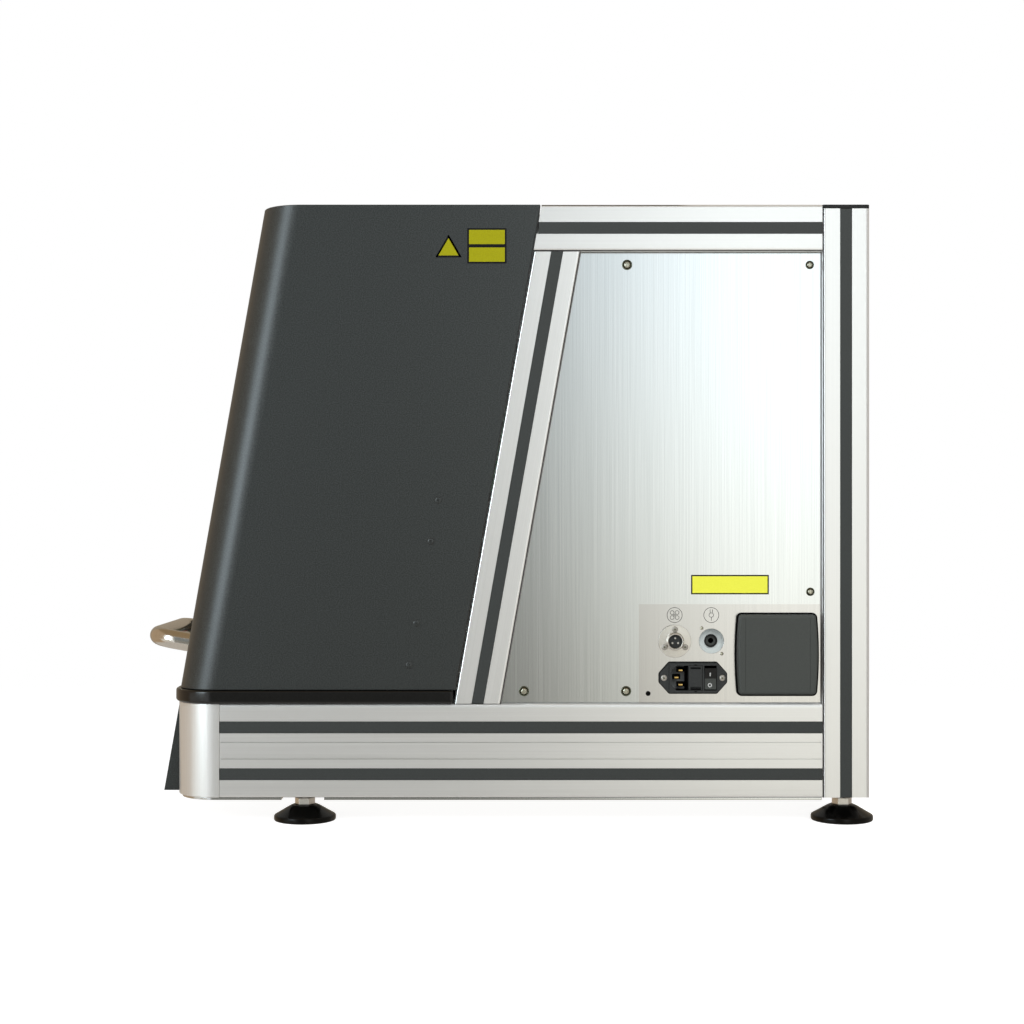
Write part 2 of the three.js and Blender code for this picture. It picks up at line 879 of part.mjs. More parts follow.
function windowCutter(extra, from, to) {
  const outline = roundedRectangle(windowWidth + extra, windowHeight + extra, windowRadius + extra / 2);
  return moved(prismY(outline, from, to, sheetCornerSegments), 0, 0, windowRise);
}

function buildHood() {
  const front = hoodPlane(baseTop);
  const rear = front + hoodDepth;
  const high = machineHeight;
  const walls = sheared(openOutline(halfWidth, front, rear, cornerRadius, hoodSheet), hoodLow, high);
  const top = sheared(fullOutline(halfWidth, front, rear, cornerRadius), high - hoodSheet, high);
  const opening = fromLeaning(windowCutter(0, hoodFace - cutOver, hoodFace + hoodSheet + cutOver));
  addPart(machine, 'hood_shell', cut(join(walls, top), opening), hoodPaint);

  const paneFront = hoodFace + hoodSheet + seat;
  const pane = windowCutter(2 * paneLap, paneFront, paneFront + paneThickness);
  addPart(leaning, 'window_pane', pane, safetyPane);
  addPart(leaning, 'lift_handle', buildHandle(), polishedSteel);
}

// Bent bar: straight runs with quarter-circle corners
function barPath(points, bend) {
  const path = new THREE.CurvePath();
  const kappaShare = 0.5523;
  let start = points[0];
  for (let index = 1; index < points.length - 1; index += 1) {
    const corner = points[index];
    const inward = start.clone().sub(corner).normalize();
    const outward = points[index + 1].clone().sub(corner).normalize();
    const enter = corner.clone().addScaledVector(inward, bend);
    const leave = corner.clone().addScaledVector(outward, bend);
    path.add(new THREE.LineCurve3(start, enter));
    path.add(new THREE.CubicBezierCurve3(
      enter,
      enter.clone().lerp(corner, kappaShare),
      leave.clone().lerp(corner, kappaShare),
      leave,
    ));
    start = leave;
  }
  path.add(new THREE.LineCurve3(start, points[points.length - 1]));
  return path;
}

function buildHandle() {
  const half = handleSpan / 2;
  const base = hoodFace - seat;
  const rise = hoodRiseAt(hoodLow) + handleRise;
  const corners = [
    new THREE.Vector3(-half, base, rise),
    new THREE.Vector3(-half, hoodFace - handleReach, rise),
    new THREE.Vector3(half, hoodFace - handleReach, rise),
    new THREE.Vector3(half, base, rise),
  ];
  const section = new THREE.Shape();
  section.absarc(0, 0, handleRadius, 0, 2 * Math.PI);
  return toSolid(new THREE.ExtrudeGeometry(section, {
    steps: handleSteps,
    extrudePath: barPath(corners, handleBend),
    curveSegments: handleSegments,
    bevelEnabled: false,
  }));
}

// Rubber seal on the base, under the hood's lower edge
function buildSeal() {
  const half = halfWidth + sealProud;
  const rear = postFront - seat;
  const low = baseTop + seat;
  const shape = openOutline(half, -sealProud, rear, cornerRadius + sealProud, sealWidth);
  const geometry = new THREE.ExtrudeGeometry(shape, {
    depth: sealHeight - seat - 2 * sealRound,
    bevelThickness: sealRound,
    bevelSize: sealRound,
    bevelOffset: -sealRound,
    bevelSegments: 2,
    curveSegments: hoodCornerSegments,
  });
  geometry.translate(0, 0, low + sealRound);
  addPart(machine, 'sill_seal', toSolid(geometry), blackRubber);
}

// Linear guides on the posts' leaning front faces, and the hood's carriages on them
function buildGuides() {
  const waist = guideWaist / 2;
  const wide = guideWidth / 2;
  const rail = polygon([
    [-wide, -seat],
    [-wide, -guideWaistLow],
    [-waist, -guideWaistLow - (wide - waist)],
    [-waist, -guideWaistHigh],
    [-wide, -guideWaistHigh - (wide - waist)],
    [-wide, -guideHeight],
    [wide, -guideHeight],
    [wide, -guideWaistHigh - (wide - waist)],
    [waist, -guideWaistHigh],
    [waist, -guideWaistLow - (wide - waist)],
    [wide, -guideWaistLow],
    [wide, -seat],
  ]);
  for (const side of sides) {
    const x = side.sign * profileCentre;
    const guide = moved(prismZ(rail, guideStart, guideEnd), x, 0, 0);
    addPart(leaning, `hood_rail_${side.name}`, guide, steel);
    addPart(leaning, `hood_carriage_${side.name}`, buildCarriage(side.sign), steel);
  }
}

function buildCarriage(sign) {
  const x = sign * profileCentre;
  const half = runnerWidth / 2;
  const bore = guideWidth / 2 + runningGap;
  const low = lowerRunnerRise - runnerLength / 2;
  const high = lowerRunnerRise + runnerPitch + runnerLength / 2;
  const wallFit = sign * (halfWidth - hoodSheet - seat);
  const runners = [lowerRunnerRise, lowerRunnerRise + runnerPitch].map((rise) => cut(
    block(
      [x - half, x + half],
      [-runnerHeight, -runnerClear],
      [rise - runnerLength / 2, rise + runnerLength / 2],
    ),
    block(
      [x - bore, x + bore],
      [-guideHeight - runningGap, cutOver],
      [rise - runnerLength, rise + runnerLength],
    ),
  ));
  const frontLeg = block(
    [x - sign * half, wallFit],
    [-runnerHeight - bracketSheet, -runnerHeight + runningGap],
    [low, high],
  );
  const sideLeg = block(
    [wallFit - sign * bracketSheet, wallFit],
    [-bracketReach, -runnerHeight],
    [low, high],
  );
  return join(frontLeg, sideLeg, ...runners);
}

// Gas springs: the tube stands on the base rail and the rod's eye is fixed to the hood's side
function buildSprings() {
  const y = -springForward;
  const tubeEnd = springTubeStart + springTubeLength;
  const boreFloor = springTubeStart + springTubeFloor;
  const rodLow = boreFloor + seat;
  const rodHigh = tubeEnd + springEyeRise;
  for (const side of sides) {
    const x = side.sign * (halfWidth - springInset);
    const wallFit = side.sign * (halfWidth - hoodSheet - seat);
    const foot = block(
      [x - springFootWidth / 2, x + springFootWidth / 2],
      [y - springFootDepth / 2, y + springFootDepth / 2],
      [-profileSize, springTubeStart + springTubeFloor / 2],
    ).intersect(levelSlab(seat, slantRise(springTubeStart + springTubeLength)));
    const tube = cut(
      rodZ(x, y, springTubeRadius, springTubeStart, tubeEnd),
      rodZ(x, y, springRodRadius + springRodGap, boreFloor, tubeEnd + cutOver, smallRoundSegments),
    );
    addPart(leaning, `gas_spring_tube_${side.name}`, join(tube, foot), blackAnodised);

    const rod = rodZ(x, y, springRodRadius, rodLow, rodHigh + springEyeSize / 2, smallRoundSegments);
    const eye = block(
      [x - side.sign * springEyeSize / 2, wallFit],
      [y - springEyeSize / 2, y + springEyeSize / 2],
      [rodHigh, rodHigh + springEyeSize],
    );
    addPart(leaning, `gas_spring_rod_${side.name}`, join(rod, eye), polishedSteel);
  }
}

// Lower front panel: a folded sheet box whose face continues the hood's front plane
function buildFrontPanel() {
  const low = baseLift + seat;
  const high = baseTop;
  const back = frontBeamSetback - seat;
  const sheetAlong = frontSheet / Math.cos(lean);
  const outside = prismX(polygon([
    [hoodPlane(low), low],
    [back, low],
    [back, high],
    [hoodPlane(high), high],
  ]), -innerFit, innerFit);
  const inside = prismX(polygon([
    [hoodPlane(low + frontSheet) + sheetAlong, low + frontSheet],
    [back + cutOver, low + frontSheet],
    [back + cutOver, high - frontSheet],
    [hoodPlane(high - frontSheet) + sheetAlong, high - frontSheet],
  ]), frontSheet - innerFit, innerFit - frontSheet);
  const holes = [
    controlHole(-controlOffset, startStem),
    controlHole(stopPlace, stopStem),
  ];
  addPart(machine, 'front_panel', cut(outside, inside, ...holes), hoodPaint);
}

function controlHole(x, radius) {
  const reach = frontSheet + cutOver;
  return fromLeaning(rodY(x, controlRise, radius + runningGap, hoodFace - cutOver, hoodFace + reach));
}

function buildControls() {
  const panelBack = hoodFace + frontSheet;
  const startFace = hoodFace - startProud;
  const start = turnedY([
    [0, startFace],
    [startRadius - clipLength / 2, startFace],
    [startRadius, startFace + clipLength / 2],
    [startRadius, startFace + startCap],
    [startStem, startFace + startCap],
    [startStem, panelBack + seat],
    [startStem + clipRadiusExtra, panelBack + seat],
    [startStem + clipRadiusExtra, panelBack + seat + clipLength],
    [0, panelBack + seat + clipLength],
  ]);
  addPart(leaning, 'start_button', moved(start, -controlOffset, 0, controlRise), greenPlastic);

  const stopFace = hoodFace - stopProud;
  const stop = turnedY([
    [0, stopFace],
    [stopRadius - 2 * stopDome, stopFace],
    [stopRadius - stopDome / 2, stopFace + stopDome],
    [stopRadius, stopFace + 2 * stopDome],
    [stopRadius, stopFace + stopHead],
    [stopStem, stopFace + stopHead],
    [stopStem, panelBack + seat],
    [stopStem + clipRadiusExtra, panelBack + seat],
    [stopStem + clipRadiusExtra, panelBack + seat + clipLength],
    [0, panelBack + seat + clipLength],
  ]);
  addPart(leaning, 'emergency_stop', moved(stop, stopPlace, 0, controlRise), redPlastic);
}

// Levelling feet: a rubber-faced pad that carries a hexagon-headed stud
function buildFeet() {
  const places = [
    { name: 'front', y: frontFootBack },
    { name: 'rear', y: frameDepth - profileSize / 2 },
  ];
  const hexLow = padHeight + seat;
  for (const place of places) {
    for (const side of sides) {
      const x = side.sign * profileCentre;
      const pad = turnedZ([
        [0, 0],
        [padRadius - padChamfer, 0],
        [padRadius, padChamfer],
        [padRadius, padRim],
        [padTopRadius, padHeight],
        [socketRadius, padHeight],
        [socketRadius, socketFloor],
        [0, socketFloor],
      ]);
      addPart(machine, `foot_pad_${place.name}_${side.name}`, moved(pad, x, place.y, 0), blackRubber);

      const hexRadius = hexAcrossFlats / 2 / Math.cos(Math.PI / hexSides);
      const stud = join(
        rodZ(0, 0, hexRadius, hexLow, floorTop, hexSides),
        rodZ(0, 0, studNeckRadius, socketFloor + seat, floorTop, smallRoundSegments),
        rodZ(0, 0, studRadius, floorTop - seat, baseLift + studInside, smallRoundSegments),
      );
      addPart(machine, `foot_stud_${place.name}_${side.name}`, moved(stud, x, place.y, 0), steel);
    }
  }
}

// Work table: a plate with a grid of fixing holes on two side skirts that stand on the floor sheet
function buildTable() {
  const half = tableWidth / 2;
  const front = frontBeamSetback + profileSize + tableGap;
  const rear = postFront - tableGap;
  const plateLow = baseTop - tableThickness;
  const foot = floorTop + seat;
  const body = block([-half, half], [front, rear], [foot, baseTop]);
  const under = block(
    [tableSkirt - half, half - tableSkirt],
    [front - cutOver, rear + cutOver],
    [foot - cutOver, plateLow],
  );
  const holes = [];
  for (let column = 0; column < tableHoleColumns; column += 1) {
    for (let row = 0; row < tableHoleRows; row += 1) {
      const x = (column - (tableHoleColumns - 1) / 2) * tableHolePitch;
      const y = (front + rear) / 2 + (row - (tableHoleRows - 1) / 2) * tableHolePitch;
      holes.push(rodZ(x, y, tableHoleRadius, plateLow - cutOver, baseTop + cutOver, pinSegments));
    }
  }
  addPart(machine, 'work_table', cut(body, under, ...holes), blackAnodised);
}

// Height column behind the chamber wall, with its lead screw, slide and arm
function buildColumn() {
  const half = columnWidth / 2;
  const ribFront = columnFrontBack;
  const ribBack = ribFront + columnRibDepth;
  const back = ribBack + columnBack;
  const low = floorTop + seat;
  const screwBack = ribFront + screwForward;
  const bearingHalf = half - columnRib;
  const footMiddle = (ribFront + back) / 2;
  const spine = block([-half, half], [ribBack, back], [low, columnTop]);
  const ribs = sides.map((side) => block(
    [side.sign * (half - columnRib), side.sign * half],
    [ribFront, ribBack + seat],
    [low, columnTop],
  ));
  const foot = block(
    [-columnFootWidth / 2, columnFootWidth / 2],
    [footMiddle - columnFootLength / 2, footMiddle + columnFootLength / 2],
    [low, low + columnFootThickness],
  );
  const motorLow = low + columnFootThickness;
  const motorTop = motorLow + motorHeight;
  const screwHole = (from, to) => rodZ(0, screwBack, screwHoleRadius, from, to, smallRoundSegments);
  const bearing = (z) => cut(
    block([-bearingHalf - seat, bearingHalf + seat], [ribFront, ribBack + seat], [z, z + bearingThickness]),
    screwHole(z - cutOver, z + bearingThickness + cutOver),
  );
  const motor = block(
    [-motorSize / 2, motorSize / 2],
    [screwBack - motorSize / 2, screwBack + motorSize / 2],
    [motorLow - seat, motorTop],
  );
  const drive = cut(motor, screwHole(motorTop - motorBore, motorTop + cutOver));
  const bearings = [motorTop + couplingSpace, columnTop - bearingThickness].map(bearing);
  addPart(machine, 'z_column', join(spine, ...ribs, foot, drive, ...bearings), blackAnodised);

  const screwLow = motorTop - motorBore + seat;
  const screw = rodZ(0, screwBack, screwRadius, screwLow, columnTop, smallRoundSegments);
  addPart(machine, 'lead_screw', screw, steel);
  addPart(machine, 'z_slide', buildSlide(screwBack), aluminium);
}

function buildSlide(screwBack) {
  const plateBack = columnFrontBack - slideGap;
  const plateFront = plateBack - slideThickness;
  const headBack = lensBack + headDepth / 2;
  const armFront = headBack + seat;
  const half = armSize / 2;
  const flangeHalf = armFlangeSize / 2;
  const plate = block(
    [-columnWidth / 2, columnWidth / 2],
    [plateFront, plateBack],
    [armHeight - slideHeight / 2, armHeight + slideHeight / 2],
  );
  const nut = block(
    [-nutSize / 2, nutSize / 2],
    [plateBack - seat, screwBack + nutSize / 2],
    [armHeight - nutHeight / 2, armHeight + nutHeight / 2],
  );
  const arm = block([-half, half], [armFront, plateFront + seat], [armHeight - half, armHeight + half]);
  const flange = block(
    [-flangeHalf, flangeHalf],
    [armFront, armFront + armFlange],
    [armHeight - flangeHalf, armHeight + flangeHalf],
  );
  const beamPath = block(
    [armWall - half, half - armWall],
    [armFront - cutOver, plateFront - armWall],
    [armHeight - half + armWall, armHeight + half - armWall],
  );
  const boreLow = armHeight - slideHeight;
  const boreHigh = armHeight + slideHeight;
  const screwBore = rodZ(0, screwBack, screwHoleRadius, boreLow, boreHigh, smallRoundSegments);
  return cut(join(plate, nut, arm, flange), beamPath, screwBore);
}

// Scan head at the end of the arm, with the focusing lens under it
function buildHead() {
  const front = lensBack - headDepth / 2;
  const back = lensBack + headDepth / 2;
  const middle = armHeight;
  const low = middle - headHeight / 2;
  const high = middle + headHeight / 2;
  const outline = polygon([
    [front + headChamfer, low],
    [back, low],
    [back, high],
    [front + headChamfer, high],
    [front, high - headChamfer],
    [front, low + headChamfer],
  ]);
  const housing = prismX(outline, -headWidth / 2, headWidth / 2);
  const collar = rodZ(0, lensBack, lensCollarRadius, low - lensCollarHeight, low + seat);
  const inlet = rodY(0, middle, inletCollarRadius, back - seat, back + inletCollarLength);
  addPart(machine, 'scan_head', join(housing, collar, inlet), blackAnodised);

  const lensTop = low - lensCollarHeight - seat;
  const lensLow = lensTop - lensHeight;
  const lens = turnedZ([
    [0, lensLow + lensGlassDepth],
    [lensGlassRadius, lensLow + lensGlassDepth / 2],
    [lensGlassRadius + seat, lensLow],
    [lensBarrelRadius, lensLow],
    [lensBarrelRadius, lensLow + lensStep],
    [lensRadius, lensLow + lensStep + lensGlassDepth],
    [lensRadius, lensTop],
    [0, lensTop],
  ]);
  addPart(machine, 'focus_lens', moved(lens, 0, lensBack, 0), blackAnodised);
}

// Laser source and power supply, both standing on the floor sheet
function buildElectronics() {
  const low = floorTop + seat;
  const left = -sourceSide;
  const sourceTop = low + sourceHeight;
  const rear = electronicsBack + sourceLength;
  const fins = [];
  for (let index = 0; index < finCount; index += 1) {
    const x = left + (sourceWidth - finWidth) * (index / (finCount - 1));
    const rise = [sourceTop - seat, sourceTop + finHeight];
    fins.push(block([x, x + finWidth], [electronicsBack, rear], rise));
  }
  const source = block([left, left + sourceWidth], [electronicsBack, rear], [low, sourceTop]);
  addPart(machine, 'laser_source', join(source, ...fins), blackAnodised);

  const supplyLeft = supplySide - supplyWidth;
  const supplyTop = low + supplyHeight;
  const supplyRear = electronicsBack + supplyLength;
  const supply = block([supplyLeft, supplySide], [electronicsBack, supplyRear], [low, supplyTop]);
  const slots = [];
  for (let index = 1; index <= supplySlotCount; index += 1) {
    const y = electronicsBack + (supplyLength * index) / (supplySlotCount + 1);
    slots.push(block(
      [supplyLeft + supplySlotInset, supplyLeft + supplySlotInset + supplySlotLength],
      [y - supplySlotWidth / 2, y + supplySlotWidth / 2],
      [supplyTop - supplySlotDepth, supplyTop + cutOver],
    ));
  }
  addPart(machine, 'power_supply', cut(supply, ...slots), brushedSheet);
}

// Cooling fan behind the right side panel
function fanPlace() {
  return {
    y: rearPostFront - seat - panelSheet - fanFlangeGap - fanSize / 2,
    z: baseTop + fanRise,
  };
}

function placedAcross(shape, y, z, from, to, segments) {
  return moved(prismX(shape, from, to, segments), 0, y, z);
}

function buildFan() {
  const { y, z } = fanPlace();
  const outer = panelInner - seat;
  const inner = outer - fanDepth;
  const strutOuter = inner + fanStrutDepth;
  const bore = fanBore / 2;
  const body = cut(
    placedAcross(roundedRectangle(fanSize, fanSize, fanRound), y, z, inner, outer, sheetCornerSegments),
    rodX(y, z, bore, inner - cutOver, outer + cutOver),
  );
  const struts = join(
    block([inner, strutOuter], [y - bore - seat, y + bore + seat], [z - fanStrut / 2, z + fanStrut / 2]),
    block([inner, strutOuter], [y - fanStrut / 2, y + fanStrut / 2], [z - bore - seat, z + bore + seat]),
    rodX(y, z, fanHubRadius, inner, strutOuter),
    rodX(y, z, fanPinRadius, inner, strutOuter + fanPinLength, smallRoundSegments),
  );
  addPart(machine, 'fan_frame', join(body, struts), blackPlastic);

  const rotorLow = strutOuter + rotorGap;
  const rotorHigh = rotorLow + rotorDepth;
  const tip = bore - rotorTipGap;
  const bladeSpan = tip - fanHubRadius / 2;
  const blades = [];
  for (let index = 0; index < bladeCount; index += 1) {
    const blade = new THREE.BoxGeometry(bladeThickness, bladeChord, bladeSpan);
    blade.translate(0, 0, (tip + cutOver + fanHubRadius / 2) / 2);
    blade.rotateZ(THREE.MathUtils.degToRad(bladePitchDegrees));
    blade.rotateX((2 * Math.PI * index) / bladeCount);
    blades.push(toSolid(blade.translate((rotorLow + rotorHigh) / 2, y, z)));
  }
  const limits = rodX(y, z, tip, rotorLow, rotorHigh);
  const rotor = join(rodX(y, z, fanHubRadius, rotorLow, rotorHigh), ...blades).intersect(limits);
  const bearingEnd = strutOuter + fanPinLength + runningGap;
  const bearing = rodX(y, z, fanBoreRadius, rotorLow - cutOver, bearingEnd, smallRoundSegments);
  addPart(machine, 'fan_rotor', cut(rotor, bearing), blackPlastic);
}

// Fan cover: a frame on the panel and a bulging cap that stands off it on four pillars
function coverOutline(inset) {
  const x = coverWidth / 2 - inset;
  const y = coverHeight / 2 - inset;
  const round = coverRound;
  const shape = new THREE.Shape();
  shape.moveTo(x - round, y);
  shape.lineTo(round - x, y);
  shape.quadraticCurveTo(-x, y, -x - coverBulge * (round / y), y - round);
  shape.quadraticCurveTo(-x - 2 * coverBulge, 0, -x - coverBulge * (round / y), round - y);
  shape.quadraticCurveTo(-x, -y, round - x, -y);
  shape.lineTo(x - round, -y);
  shape.quadraticCurveTo(x, -y, x + coverBulge * (round / y), round - y);
  shape.quadraticCurveTo(x + 2 * coverBulge, 0, x + coverBulge * (round / y), y - round);
  shape.quadraticCurveTo(x, y, x - round, y);
  return shape;
}

function buildFanCover() {
  const { y, z } = fanPlace();
  const base = panelOuter + seat;
  const capLow = base + coverBase + coverAirGap;
  const capHigh = capLow + coverCap;
  const frame = cut(
    placedAcross(coverOutline(0), y, z, base, base + coverBase, coverSegments),
    rodX(y, z, fanBore / 2 - coverWall, base - cutOver, base + coverBase + cutOver),
  );
  const capGeometry = new THREE.ExtrudeGeometry(coverOutline(coverInset), {
    depth: coverCap - coverBevel,
    bevelThickness: coverBevel,
    bevelSize: coverBevel,
    bevelOffset: -coverBevel,
    bevelSegments: 2,
    curveSegments: coverSegments,
  });
  const cap = toSolid(turnedAcross(capGeometry).translate(capLow, y, z));
  const backCut = block(
    [capLow - coverCap, capLow],
    [y - coverWidth, y + coverWidth],
    [z - coverHeight, z + coverHeight],
  );
  const hollowOutline = coverOutline(coverInset + coverWall + coverBevel);
  const hollowHigh = capHigh - coverWall;
  const hollow = placedAcross(hollowOutline, y, z, capLow - cutOver, hollowHigh, coverSegments);
  const pillars = [];
  const reachY = coverWidth / 2 - coverInset - coverPillar / 2;
  const reachZ = coverHeight / 2 - coverInset - coverPillar / 2;
  const pillarRadius = (coverPillar - coverBevel) / 2;
  for (const side of sides) {
    for (const level of sides) {
      const py = y + side.sign * reachY;
      const pz = z + level.sign * reachZ;
      pillars.push(rodX(py, pz, pillarRadius, base, hollowHigh, smallRoundSegments));
    }
  }
  addPart(machine, 'fan_cover', join(frame, cut(cap, backCut, hollow), ...pillars), blackPlastic);
}

// Power inlet: a flange with two ears, a body behind the panel, and three pockets in its face
function inletBodyHalf() {
  return inletHeight / 2 - inletBodyInset;
}

function buildInlet() {
  const z = baseTop + inletRise;
  const flangeLow = panelOuter + seat;
  const flangeHigh = flangeLow + inletFlange;
  const rimHigh = flangeHigh + inletRim;
  const tip = inletLength / 2;
  const flat = inletFlat / 2;
  const half = inletHeight / 2;
  const ear = inletEarHeight / 2;
  const flange = placedAcross(polygon([
    [-tip, -ear], [-flat, -half], [flat, -half], [tip, -ear],
    [tip, ear], [flat, half], [-flat, half], [-tip, ear],
  ]), inletBack, z, flangeLow, flangeHigh);
  const rim = block(
    [flangeHigh - seat, rimHigh],
    [inletBack - flat, inletBack + flat],
    [z - half + inletRimInset, z + half - inletRimInset],
  );
  const body = block(
    [flangeLow - inletBody, flangeLow + seat],
    [inletBack - flat, inletBack + flat],
    [z - inletBodyHalf(), z + inletBodyHalf()],
  );
  const plugY = inletBack - plugOffset;
  const plugHalfWidth = plugWidth / 2;
  const plugHalf = plugHeight / 2;
  const plugPocket = placedAcross(polygon([
    [plugHalfWidth, -plugHalf],
    [plugHalfWidth, plugHalf],
    [plugChamfer - plugHalfWidth, plugHalf],
    [-plugHalfWidth, plugHalf - plugChamfer],
    [-plugHalfWidth, plugChamfer - plugHalf],
    [plugChamfer - plugHalfWidth, -plugHalf],
  ]), plugY, z, rimHigh - plugDepth, rimHigh + cutOver);
  const fuseY = inletBack + fuseOffset;
  const fuseHalfWidth = fuseWidth / 2 + runningGap;
  const fuseHalf = fuseHeight / 2 + runningGap;
  const fusePocket = block(
    [rimHigh - fuseDepth - runningGap, rimHigh + cutOver],
    [fuseY - fuseHalfWidth, fuseY + fuseHalfWidth],
    [z - fuseHalf, z + fuseHalf],
  );
  const rockerY = inletBack + rockerOffset;
  const rockerPocket = block(
    [rimHigh - rockerPocketDepth, rimHigh + cutOver],
    [rockerY - rockerWidth / 2 - runningGap, rockerY + rockerWidth / 2 + runningGap],
    [z - rockerPocketHeight / 2, z + rockerPocketHeight / 2],
  );
  const pins = [-1, 0, 1].map((place) => {
    const shift = place === 0 ? -pinShift : 0;
    const pinZ = z + place * pinSpread;
    return block(
      [rimHigh - plugDepth - seat, rimHigh - plugDepth + pinLength],
      [plugY + shift - pinWidth / 2, plugY + shift + pinWidth / 2],
      [pinZ - pinHeight / 2, pinZ + pinHeight / 2],
    );
  });
  const housing = cut(join(flange, rim, body), plugPocket, fusePocket, rockerPocket);
  addPart(machine, 'inlet_module', join(housing, ...pins), blackPlastic);
  buildFuseDrawer(rimHigh, z);
  buildRocker(rimHigh, rockerY, z);
}

function buildFuseDrawer(face, z) {
  const y = inletBack + fuseOffset;
  const half = fuseWidth / 2;
  const halfHeight = fuseHeight / 2;
  const body = block([face - fuseDepth, face], [y - half, y + half], [z - halfHeight, z + halfHeight]);
  const grips = sides.map((side) => block(
    [face - fuseGrip, face + cutOver],
    [y - half + fuseGrip, y + half - fuseGrip],
    [z + side.sign * (halfHeight - fuseGripHeight), z + side.sign * (halfHeight - fuseGrip)],
  ));
  addPart(machine, 'fuse_drawer', cut(body, ...grips), blackPlastic);
}

// Rocker: two flat faces that meet in a shallow valley over the pivot
function buildRocker(face, y, z) {
  const half = rockerHeight / 2;
  const outline = new THREE.Shape([
    new THREE.Vector2(-rockerSlant / 2, 0),
    new THREE.Vector2(rockerSlant / 2, half),
    new THREE.Vector2(-rockerDepth + rockerSlant, half - rockerSlant),
    new THREE.Vector2(-rockerDepth, 0),
    new THREE.Vector2(-rockerDepth + rockerSlant, rockerSlant - half),
    new THREE.Vector2(rockerSlant / 2, -half),
  ]);
  const geometry = extrusion(outline, -rockerWidth / 2, rockerWidth / 2, cornerSegments);
  geometry.rotateX(Math.PI / 2);
  geometry.translate(rockerPivotDepth, 0, 0);
  geometry.rotateY(THREE.MathUtils.degToRad(rockerDegrees));
  const rocker = toSolid(geometry.translate(face - rockerPivotDepth, y, z));
  addPart(machine, 'rocker_switch', rocker, blackPlastic);
}

// Round sockets above the inlet
function buildSockets() {
  const z = baseTop + socketRise;
  const face = panelOuter + seat;
  const flangeHigh = face + controlFlange;
  const barrelHigh = flangeHigh + controlBarrelProud;
  const y = controlSocketBack;
  const shell = join(
    rodX(y, z, controlFlangeRadius, face, flangeHigh),
    rodX(y, z, controlBarrelRadius, face - controlBodyLength, barrelHigh),
  );
  const mouthRadius = controlBarrelRadius - controlBarrelWall;
  const mouth = rodX(y, z, mouthRadius, barrelHigh - controlMouthDepth, barrelHigh + cutOver);
  const pinLow = barrelHigh - controlMouthDepth - seat;
  const pins = [];
  for (let index = 0; index < controlPinCount; index += 1) {
    const angle = Math.PI / 2 + (2 * Math.PI * index) / controlPinCount;
    pins.push(rodX(
      y + controlPinCircle * Math.cos(angle),
      z + controlPinCircle * Math.sin(angle),
      controlPinRadius,
      pinLow,
      pinLow + controlPinLength,
      pinSegments,
    ));
  }
  addPart(machine, 'three_pin_socket', join(cut(shell, mouth), ...pins), polishedSteel);

  const cupFace = panelInner - seat;
  const cupFloor = cupFace - dataCupDepth;
  const data = join(
    cut(
      rodX(dataSocketBack, z, dataBodyRadius, cupFace - dataBodyLength, cupFace),
      rodX(dataSocketBack, z, dataHoleRadius, cupFloor, cupFace + cutOver),
    ),
    rodX(dataSocketBack, z, dataBarrelRadius, cupFloor - seat, cupFloor + dataBarrelLength),
  );
  const boreLow = cupFloor + dataBarrelLength - dataBoreDepth;
  const bore = rodX(dataSocketBack, z, dataBoreRadius, boreLow, cupFace, smallRoundSegments);
  addPart(machine, 'data_socket', cut(data, bore), palePlastic);
}

buildFrame();
buildPanels();
buildHood();
buildSeal();
buildGuides();
buildSprings();
buildFrontPanel();
buildControls();
buildFeet();
buildTable();
buildColumn();
buildHead();
buildElectronics();
buildFan();
buildFanCover();
buildInlet();
buildSockets();

export default model;
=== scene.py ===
# %% [markdown]
# A bench laser marking machine stands on a pale floor, seen level from its right side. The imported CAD
# model gives every sub-part in its true place and in metres. This file dresses that model: flat metal
# keeps its CAD form with softened edges, and round, moulded or thin things are modelled anew.

# %% Load the CAD frame
import json
import math

import bmesh
import bpy
from mathutils import Matrix, Vector

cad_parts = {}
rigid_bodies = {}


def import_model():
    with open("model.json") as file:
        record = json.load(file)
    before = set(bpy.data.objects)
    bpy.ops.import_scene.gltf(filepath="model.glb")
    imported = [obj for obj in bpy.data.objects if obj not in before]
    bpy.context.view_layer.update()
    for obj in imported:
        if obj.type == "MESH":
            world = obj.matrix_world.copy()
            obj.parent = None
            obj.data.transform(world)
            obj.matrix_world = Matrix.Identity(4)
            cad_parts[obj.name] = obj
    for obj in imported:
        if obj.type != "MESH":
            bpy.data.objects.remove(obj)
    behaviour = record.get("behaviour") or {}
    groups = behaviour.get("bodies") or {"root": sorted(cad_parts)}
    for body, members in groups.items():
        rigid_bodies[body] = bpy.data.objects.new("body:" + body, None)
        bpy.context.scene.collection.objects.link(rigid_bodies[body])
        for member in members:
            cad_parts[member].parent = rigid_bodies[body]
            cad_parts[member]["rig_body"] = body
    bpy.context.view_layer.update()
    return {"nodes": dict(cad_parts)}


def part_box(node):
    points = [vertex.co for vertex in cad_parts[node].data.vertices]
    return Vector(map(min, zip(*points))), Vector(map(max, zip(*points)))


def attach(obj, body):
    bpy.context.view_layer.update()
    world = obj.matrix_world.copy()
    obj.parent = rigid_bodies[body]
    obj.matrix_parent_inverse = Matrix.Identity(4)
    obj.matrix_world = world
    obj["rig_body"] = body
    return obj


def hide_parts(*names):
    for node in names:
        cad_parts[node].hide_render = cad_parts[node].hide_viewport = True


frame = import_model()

# %% [markdown]
# A colour read off a picture is in screen values from 0 to 255, while a shader wants linear
# light. One small function turns the first into the second, so each colour below reads as it looks.

# %% Colours
SCREEN_WHITE = 255
TOE_END = 0.04045
TOE_SLOPE = 12.92
CURVE_OFFSET = 0.055
CURVE_POWER = 2.4


